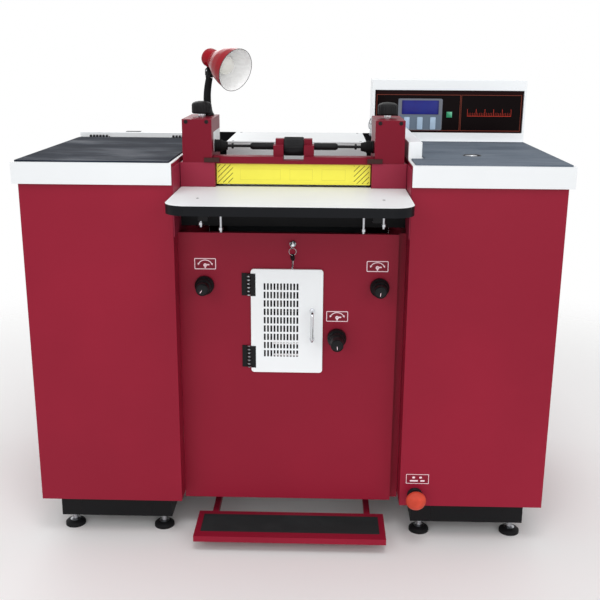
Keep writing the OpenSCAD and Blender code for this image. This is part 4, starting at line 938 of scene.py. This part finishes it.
class PillarKnobs(SplitterPiece, bpy.types.Operator):
    """Fluted knobs on bright necks, one on top of each pillar"""

    bl_idname = "splitter.pillar_knobs"
    bl_label = "Pillar knobs"

    def make(self, sizes):
        depth = sizes.flute * 1000
        neck = [(6.4, -56), (7, -55.4), (7, 0.3), (10, 0.3), (10, 3), (9, 3.4), (9, 5), (10, 5.4),
                (10, 9)]
        head = rounded([(10, 9), (25.5, 9), (28.5, 12), (28.5, 34), (25.5, 39), (17.1, 43),
                        (1, 44)], 2.5, 4)

        def flutes(radius, distance, a):
            grip = (radius > 26) * (distance > 10)
            return 1 - grip * depth / 28.5 * (0.5 + 0.5 * np.cos(18 * a)) ** 2

        for side in ("left", "right"):
            node = side + "_top_knob"
            x, y, _ = machine_box(node)[2]
            place = (x, y, machine_box(side + "_pillar")[1][2])
            body = turned(np.concatenate([neck, head[1:]]), place, UP, 144, (0, "chrome"),
                          (len(neck) - 1, "black"), flute=flutes)
            cap = lathe([(11, 41), (11, 43.6), (10.4, 44), (1, 44)], place, UP, 48)
            piece("pillar_knob_" + side, [body, (cap, "black")], "black_plastic", node)


class CrossShaft(SplitterPiece, bpy.types.Operator):
    """Cross shaft with its knurled hand wheel, sleeves and collars, and the two rubber boots"""

    bl_idname = "splitter.cross_shaft"
    bl_label = "Cross shaft and boots"

    def make(self, sizes):
        low, high, (_, y, z) = machine_box("cross_shaft")
        half, wheel = high[0], (high[2] - low[2]) / 2
        knurl = sizes.knurl * 1000 / wheel
        arm = np.array([(wheel, 0), (wheel, 13), (wheel, 25.6), (wheel - 0.4, 26.6),
                        (wheel - 2, 28), (6, 28), (6, 57.3), (9.3, 57.3), (10, 58), (10, 76),
                        (9.4, 76.6), (9.4, 78.4), (10, 79), (10, 117.4), (9.6, 118.6), (7, 124),
                        (4, 124), (4, 171.6), (7.2, 172), (8, 172.8), (8, 177.2), (7.2, 178),
                        (4, 178), (4, half - 0.6), (3.4, half)])
        profile = np.concatenate([(arm * (1, -1))[::-1], arm[1:]])

        def teeth(radius, distance, a):
            return 1 - knurl * (radius > wheel - 0.3) * (1 + np.cos(40 * a))

        shaft = lathe(profile, (0, y, z), RIGHT, 160, teeth)
        piece("hand_wheel_shaft", [(shaft, "black")], "black_plastic", "cross_shaft")
        end = machine_box("shaft_boots")[1][0]
        d = np.linspace(3, 20, 26)
        fold, small_fold = 5.67, 4.67
        folds = np.stack([17.3 + 0.7 * np.cos((d - d[0]) * TAU / fold), d], -1)
        e = np.linspace(21, 35, 22)
        cone = 16 - 4.5 * (e - 20) / 16
        taper = np.stack([cone - 0.5 + 0.5 * np.cos((e - e[0]) * TAU / small_fold), e], -1)
        skin = np.concatenate([[(9, 0), (17, 0), (18, 1)], folds, taper, [(11.5, 36), (9, 36)]])
        boots = [(lathe(skin, (end * side, y, z), (-side, 0, 0), 64, loop=True), "rubber")
                 for side in (-1, 1)]
        piece("boots", boots, "black_rubber", "shaft_boots")


class Lamp(SplitterPiece, bpy.types.Operator):
    """Work lamp: gooseneck and fork, spun shade with a white inside, and a frosted bulb"""

    bl_idname = "splitter.lamp"
    bl_label = "Lamp"

    def make(self, sizes):
        turn, dip = math.radians(48.5), math.radians(17)
        foot = np.array([-255, 283, machine_box("left_pillar")[1][2] + 0.3])
        head = np.array([-248, 283, 1390])
        pivot = head - (0, 0, 37)
        across = np.array([math.cos(turn), math.sin(turn), 0])
        ahead = np.array([math.sin(turn), -math.cos(turn), 0])
        base = lathe(rounded([(18.4, 0), (19, 0.6), (19, 4), (16, 8), (13.5, 16), (12.5, 25.3),
                              (1, 25.3)], 1.5), foot, UP, 48)
        t = np.linspace(0, 1, 109)
        z0, z1 = foot[2] + 25.7, pivot[2] - 20
        path = np.stack([foot[0] + (head[0] - foot[0]) * t - 3 * np.sin(math.pi * t),
                         np.full_like(t, foot[1]), z0 + (z1 - z0) * t], -1)
        radius, taper, groove, grooves = 11.4, 0.13, 0.3, 27
        thick = radius * (1 - taper * t) - groove * (1 - np.cos(t * TAU * grooves)) / 2
        ferrule = lathe([(10.6, 0), (11, 0.4), (11, 7.2), (10.2, 8), (1, 8)],
                        (head[0], head[1], z1 + 0.3), UP, 40)
        hose = sweep(path, thick, 32)
        parts = [(base, "black_paint"), (hose, "rubber"), (ferrule, "black_paint")]
        low = z1 + 7 - pivot[2]
        half_turn = np.linspace(0, math.pi, 17)
        cheek = np.concatenate([arc(7, half_turn), [(-7, low), (7, low)]])
        for start in (-10, 5):
            parts.append((prism(cheek, pivot + across * start, -ahead, UP, 5), "black_paint"))
        piece("gooseneck", parts, "black_paint", "lamp_neck")

        aim = ahead * math.cos(dip) - np.array([0, 0, math.sin(dip)])
        outside = rounded([(1, -16), (10, -15), (18.9, -11), (25.1, -4), (26.8, 3), (26.3, 3.4),
                           (26.3, 4.4), (27, 5), (27, 16), (25.4, 25), (26.4, 30), (31, 36),
                           (37.8, 48), (48.2, 67.9), (56.1, 92.4), (60.6, 116.4)], 5, 5)
        lining = rounded([(59.4, 116.4), (54.5, 92.4), (46.6, 67.9), (36.2, 49), (29.4, 38),
                          (20, 34.1), (1, 34.1)], 5, 5)
        skin = turned(np.concatenate([outside, lining]), head, aim, 96, (0, "lamp_red"),
                      (len(outside) - 1, "lamp_rim"), (len(outside), "lamp_white"))
        rim = hoop(head + aim * 116.2, aim, 60.0, 0.8, 96)
        flat = np.concatenate([arc(6, half_turn + math.pi), [(6, 14), (-6, 14)]])
        tongue = prism(flat, pivot - across * 4.6, -ahead, UP, 9.2)
        pin = lathe([(2.4, -12), (3, -11.4), (3, 11.4), (2.4, 12)], pivot, across, 24)
        piece("shade", [skin, (rim, "lamp_rim"), (tongue, "black_paint"), (pin, "steel")],
              "lamp_paint", "lamp_shade")

        globe = rounded([(13, 9), (17, 15), (24, 24), (27, 36), (25, 47), (18, 55), (9, 59),
                         (0.6, 60)], 6, 5)
        thread, thread_pitch = np.linspace(0.8, 8.6, 27), 2.6
        collar = np.stack([12.8 + 0.2 * np.cos(thread * TAU / thread_pitch), thread], -1)
        profile = np.concatenate([[(12.4, 0)], collar, globe])
        glass = turned(profile, head + aim * 34.3, aim, 64, (0, "dark_metal"), (28, "frosted"))
        piece("bulb", [glass], "bulb_glass", "lamp_bulb")


class StopButton(SplitterPiece, bpy.types.Operator):
    """Mushroom head of the emergency stop on its dark stem"""

    bl_idname = "splitter.stop_button"
    bl_label = "Stop button"

    def make(self, sizes):
        _, high, (x, _, z) = machine_box("e_stop_button")
        stem = [(7.4, 0), (8, 0.6), (8, 17)]
        head = rounded([(8, 17), (18, 18), (27.5, 22), (29.5, 27), (27.5, 33), (20.5, 39),
                        (12, 42.5), (1, 43.5)], 5, 5)
        button = turned(np.concatenate([stem, head[1:]]), (x, high[1], z), TO_FRONT, 72,
                        (0, "black"), (2, "stop"))
        piece("stop_head", [button], "stop_red", "e_stop_button")


class LockAndKey(SplitterPiece, bpy.types.Operator):
    """Cam lock with a key in it, and the spare key that hangs from its ring"""

    bl_idname = "splitter.lock_and_key"
    bl_label = "Lock and key"

    def make(self, sizes):
        x, z, panel = 2, 891, machine_box("front_panel")[0][1]
        barrel = lathe([(7.4, 0), (8, 0.6), (8, 24.3), (10, 24.3), (10, 28.4), (9.2, 30), (7.6, 31),
                        (6.8, 30.4), (1, 30.4)], (x, panel + 24, z), TO_FRONT, 48)
        cam = prism(outline(37, 14, 3), (x + 11.5, panel + 27, z), RIGHT, UP, 3)
        bow, thick = panel - 19.3, 2.4
        flank = (x - thick / 2, bow, z)
        plate = washer(disc(11, 32), disc(3, 32, (2, -6)), flank, TO_FRONT, UP, thick)
        blade = prism([(-13.3, -4), (-13.3, 4), (-2, 4), (-2, -4)], flank, TO_FRONT, UP, thick)
        parts = [(barrel, "chrome"), (cam, "steel"), (plate, "steel"), (blade, "steel")]
        piece("lock", parts, "steel", "lock_barrel")
        middle, hole = 873.1, 862.0
        at_ring = bow - 2
        ring = hoop((x, at_ring, middle), TO_FRONT, 10, 0.8, 40)
        across = np.array([math.sin(0.6), -math.cos(0.6), 0])
        back = np.array([x, at_ring, hole]) - np.cross(across, UP) * thick / 2
        grip = washer(disc(10, 32, (0, -5)), disc(2.2, 32), back, across, UP, thick)
        teeth = [(-3, -14), (-3, -40), (-1, -40.0), (1.2, -38.5), (1.2, -36), (2.2, -34.5),
                 (0.8, -32), (2.6, -29.5), (1.4, -27), (3, -24.5), (3, -14)]
        shank = prism(teeth, back, across, UP, thick)
        piece("hanging_key_set", [(ring, "steel"), (grip, "black"), (shank, "steel")], "steel",
              "spare_key")


class SymbolPlates(SplitterPiece, bpy.types.Operator):
    """Thin plates over the knobs with a plain arc and arrow symbol, and one over the stop"""

    bl_idname = "splitter.symbol_plates"
    bl_label = "Symbol plates"

    def make(self, sizes):
        front = machine_box("front_panel")[0][1] - 0.05
        for name, x, z, w, h in (("left", -244.5, 831, 61, 32), ("right", 239.5, 829, 61, 31),
                                 ("lower", 129, 681.5, 62, 31)):
            curve = arc(w * 0.36, np.radians(np.linspace(35, 145, 25))) - (0, h * 0.35)
            marks = [(ribbon(curve, 2.3)[::-1], 0.5)]
            for side in (-1, 1):
                tip = np.array([(side * 2.6, -5.4), (side * 3.4, 1.2), (-side * 2.8, -1.4)])
                marks.append(((tip + curve[0 if side > 0 else -1])[::side], 0.5))
            marks += [(disc(5.2, 20, (0, -h * 0.12)), 0.5),
                      (outline(4.0, 10, 1.8) + (0, -h * 0.24), 0.6),
                      (outline(15, 4, 1.8) + (4.5, -h * 0.08), 0.6)]
            self.plate("symbol_plate_" + name, (x, front, z), (w, h, 3), (4.4, 1.4), marks)
        bars = ((-11, 4.6, 8, 6), (9, 4.6, 8, 6), (-10, -6, 24, 4.6), (15, -6, 13, 4.6))
        marks = [(outline(w, h, min(w, h) * 0.45) + (x, y), 0.5) for x, y, w, h in bars]
        place = (370, machine_box("right_cabinet")[0][1] - 0.05, 211)
        self.plate("stop_plate", place, (66, 30, 1), (3, 0.5), marks)

    def plate(self, name, place, size, rim, marks):
        """A plate of width, height and corner radius, with a pale rim and flat pale marks.

        rim is how much less wide the rim is inside and its corner radius there; each mark is
        an outline and its height."""
        w, h, corner = size
        field = pad(place, RIGHT, UP, w, h, 0.3, corner, 0.1)
        edge = washer(outline(w, h, corner), outline(w - rim[0], h - rim[0], rim[1]), place, RIGHT,
                      UP, 0.55)
        parts = [(prism(flat, place, RIGHT, UP, height), "marks") for flat, height in marks]
        piece(name, [(field, "plate_red"), (edge, "marks")] + parts, "black_paint")


class ControlPieces(SplitterPiece, bpy.types.Operator):
    """Screen glass and the three pale key pads of the display"""

    bl_idname = "splitter.control_pieces"
    bl_label = "Screen and keys"

    def make(self, sizes):
        low, _, (x, _, z) = machine_box("display_unit")
        front = low[1] + 0.1
        screen = pad((x, front, z + 23), RIGHT, UP, 121, 45, 0.5, 1.5, 0.4)
        piece("display_screen", [(screen, "screen")], "panel_gloss")
        keys = [(pad((x + k * 43, front, z - 28.5), RIGHT, UP, 18, 40, 0.9, 2.5, 0.6), "key")
                for k in (-1, 0, 1)]
        piece("display_keys", keys, "bezel")


class Fasteners(SplitterPiece, bpy.types.Operator):
    """Socket screws of the pillars, the table, the covers and the control housing"""

    bl_idname = "splitter.fasteners"
    bl_label = "Screws"

    def make(self, sizes):
        pillar = machine_box("left_pillar")[0][1] + 0.1
        table = machine_box("feed_table")[1][2] - 0.05
        cover = machine_box("rear_cover")[1][2] - 0.05
        back = machine_box("rear_panel")[1][1] - 1.3
        rows = [
            ([(x, pillar, 1219) for x in (-297, -240, 239, 296)], TO_FRONT, 5.4, 1.2, "black"),
            ([(x, -72, table) for x in (-241, 241)], UP, 4, 0.5, "dark_metal"),
            ([(x, y, cover) for x in (-200, 200) for y in (466, 756)], UP, 4, 1.2, "steel"),
            ([(x, back, z) for x in (-305, 305) for z in (140, 460, 780, 1095)], TO_BACK, 4, 1.2,
             "dark_metal"),
        ]
        screws = [(socket_screw(place, axis, r, h), finish)
                  for places, axis, r, h, finish in rows for place in places]
        piece("frame_screws", screws, "steel")


class SmallPlates(SplitterPiece, bpy.types.Operator):
    """White cover plate on the left pillar, bare grey plate at the rear and the draw catch"""

    bl_idname = "splitter.small_plates"
    bl_label = "Small plates and catch"

    def make(self, sizes):
        inner = machine_box("left_pillar")[1][0]
        cover = pad((inner - 0.02, 249, 1161), TO_BACK, UP, 154, 54, 0.27, 2, 0.1)
        piece("pillar_cover_plate", [(cover, "white")], "white_paint")
        rear = machine_box("left_rear_housing")[1][2]
        plate = pad((-574, 757, rear - 0.05), RIGHT, TO_BACK, 52, 28, 0.6, 2, 0.2)
        piece("rear_grey_plate", [(plate, "bare_plate")], "steel")
        x, y = machine_box("control_housing")[0][0], 665
        upper = pad((x + 0.1, y, 1186), TO_FRONT, UP, 16, 26, 1.6, 2)
        lower = pad((x + 0.1, y, 1139), TO_FRONT, UP, 16, 13, 1.6, 2)
        a = np.linspace(0, TAU, 49)[:-1]
        bail = np.stack([x - 3.6 - 1.6 * np.cos(2 * a), y + 5.2 * np.clip(1.6 * np.sin(a), -1, 1),
                         1162 + 21 * np.cos(a)], -1)
        t = np.linspace(0, 1, 25)
        lever = np.stack([x - 2.6 - 5.6 * np.sin(math.pi * t * 0.8), np.full_like(t, y),
                          1194 - 34 * t], -1)
        hook = np.stack([x - 1.6 - 4 * np.sin(math.pi * t), np.full_like(t, y), 1145 - 9 * t], -1)
        parts = [(upper, "steel"), (lower, "steel"), (sweep(bail, 1.2, 10, True), "chrome"),
                 (sweep(lever, 1.9, 12), "steel"), (sweep(hook, 1.7, 12), "steel")]
        piece("draw_catch", parts, "steel")


class PedalMat(SplitterPiece, bpy.types.Operator):
    """Ribbed rubber tread of the foot pedal"""

    bl_idname = "splitter.pedal_mat"
    bl_label = "Pedal tread"

    def make(self, sizes):
        low, high, middle = machine_box("pedal_mat")
        y = np.linspace(high[1], low[1], 129)
        wave = 0.5 + 0.5 * np.cos((y - middle[1]) * TAU / (sizes.rib * 1000))
        top = np.stack([y, high[2] - 0.9 * wave**2], -1)
        ring = np.concatenate([top, [(low[1], low[2]), (high[1], low[2])]])
        rings = [np.column_stack([np.full(len(ring), x), ring]) for x in (low[0], high[0])]
        piece("pedal_tread", [(tube(rings), "tread")], "black_rubber", "pedal_mat")


class Stage(SplitterPiece, bpy.types.Operator):
    """Pale floor, soft studio light and the camera at the photograph's angle"""

    bl_idname = "splitter.stage"
    bl_label = "Stage"

    def make(self, sizes):
        scene = bpy.context.scene
        scene.view_settings.view_transform = "Standard"
        paint = Paint("pale_floor", (0.95, 0.95, 0.95, 1.0), 0.9, gloss=0.1)
        x, y, _ = paint.axes()
        fade_radius = 3.0
        away = ((x * x + y * y) / fade_radius**2).smooth(0.15, 1.0)
        paint.set("Alpha", 1 - away)
        mesh = bpy.data.meshes.new("floor")
        mesh.from_pydata([(-4, -4, 0), (4, -4, 0), (4, 4, 0), (-4, 4, 0)], [], [[0, 1, 2, 3]])
        mesh.materials.append(paint.material)
        floor = bpy.data.objects.new("floor", mesh)
        scene.collection.objects.link(floor)
        self.light(scene)
        lens = bpy.data.cameras.new("photograph")
        lens.sensor_width, lens.lens = 36.0, sizes.camera_lens
        camera = bpy.data.objects.new("photograph", lens)
        camera.matrix_world = photo_view()
        scene.collection.objects.link(camera)
        scene.camera = camera

    def light(self, scene):
        """White world where a camera, glossy or transmitted ray meets it, softer elsewhere."""
        scene.world = bpy.data.worlds.new("studio")
        studio = Nodes(scene.world, "Background")
        path = studio.node("ShaderNodeLightPath", {}, "Is Camera Ray")
        outputs, seen = path.socket.node.outputs, path
        for ray in ("Is Glossy Ray", "Is Transmission Ray"):
            seen = seen.math("MAXIMUM", seen, Value(studio, outputs[ray]))
        unseen_strength = 0.62
        strength = {"Value": seen, "To Min": unseen_strength}
        studio.set("Strength", studio.node("ShaderNodeMapRange", strength))
        studio.set("Color", (1, 1, 1, 1))
        for name, where, aim, size, power in [
            ("key", (-3.6, -6.8, 4.4), (0, 0, 0.8), 4.6, 104),
            ("fill", (4.2, -6.6, 3.2), (0, 0, 0.8), 4.4, 88),
            ("low", (0.0, -7.6, 1.4), (0, 0, 0.7), 4.0, 50),
            ("over", (0.2, -2.0, 4.4), (0, 0.2, 1.0), 1.3, 36),
            ("top", (0.0, 0.8, 5.0), (0, 0, 1.0), 3.6, 20),
            ("back", (-2.5, 6.0, 3.6), (0, 0, 0.9), 4.0, 70),
        ]:
            light = bpy.data.lights.new(name, "AREA")
            light.energy, light.size = power, size
            obj = bpy.data.objects.new(name, light)
            obj.location = where
            obj.rotation_mode = "QUATERNION"
            obj.rotation_quaternion = (Vector(aim) - Vector(where)).to_track_quat("-Z", "Y")
            scene.collection.objects.link(obj)


def photo_view():
    """Camera matrix: columns are right, up and back, worked out from yaw, pitch and roll."""
    yaw, pitch, roll = math.radians(-1.36), math.radians(15.67), math.radians(0.39)
    ahead = np.array([math.sin(yaw) * math.cos(pitch), math.cos(yaw) * math.cos(pitch),
                      -math.sin(pitch)])
    level = np.array([math.cos(yaw), -math.sin(yaw), 0.0])
    rise = np.cross(level, ahead)
    right = math.cos(roll) * level + math.sin(roll) * rise
    up = -math.sin(roll) * level + math.cos(roll) * rise
    columns = np.column_stack([right, up, -ahead, (0.0806, FRONT - 2.3551, 1.4105)])
    return Matrix([*columns.tolist(), (0, 0, 0, 1)])


class SplitterPanel(bpy.types.Panel):
    """Sidebar list of the machine's pieces"""

    bl_idname = "VIEW3D_PT_splitter"
    bl_label = "Leather splitter"
    bl_space_type = "VIEW_3D"
    bl_region_type = "UI"
    bl_category = "Splitter"

    def draw(self, context):
        for group in (context.scene.splitter_colours, context.scene.splitter_sizes):
            for name in group.__annotations__:
                self.layout.prop(group, name)
        for operator in OPERATORS:
            self.layout.operator(operator.bl_idname)


OPERATORS = [Stage, PaintFrame, FrontKnobs, PillarKnobs, CrossShaft, Lamp, StopButton, LockAndKey,
             SymbolPlates, ControlPieces, Fasteners, SmallPlates, PedalMat]
GROUPS = [SplitterColours, SplitterSizes]


def register():
    for cls in GROUPS + OPERATORS + [SplitterPanel]:
        bpy.utils.register_class(cls)
    bpy.types.Scene.splitter_colours = bpy.props.PointerProperty(type=SplitterColours)
    bpy.types.Scene.splitter_sizes = bpy.props.PointerProperty(type=SplitterSizes)


def unregister():
    del bpy.types.Scene.splitter_sizes
    del bpy.types.Scene.splitter_colours
    for cls in reversed(GROUPS + OPERATORS + [SplitterPanel]):
        bpy.utils.unregister_class(cls)


def main():
    register()
    for operator in OPERATORS:
        family, name = operator.bl_idname.split(".")
        getattr(getattr(bpy.ops, family), name)()


if __name__ == "__main__":
    main()
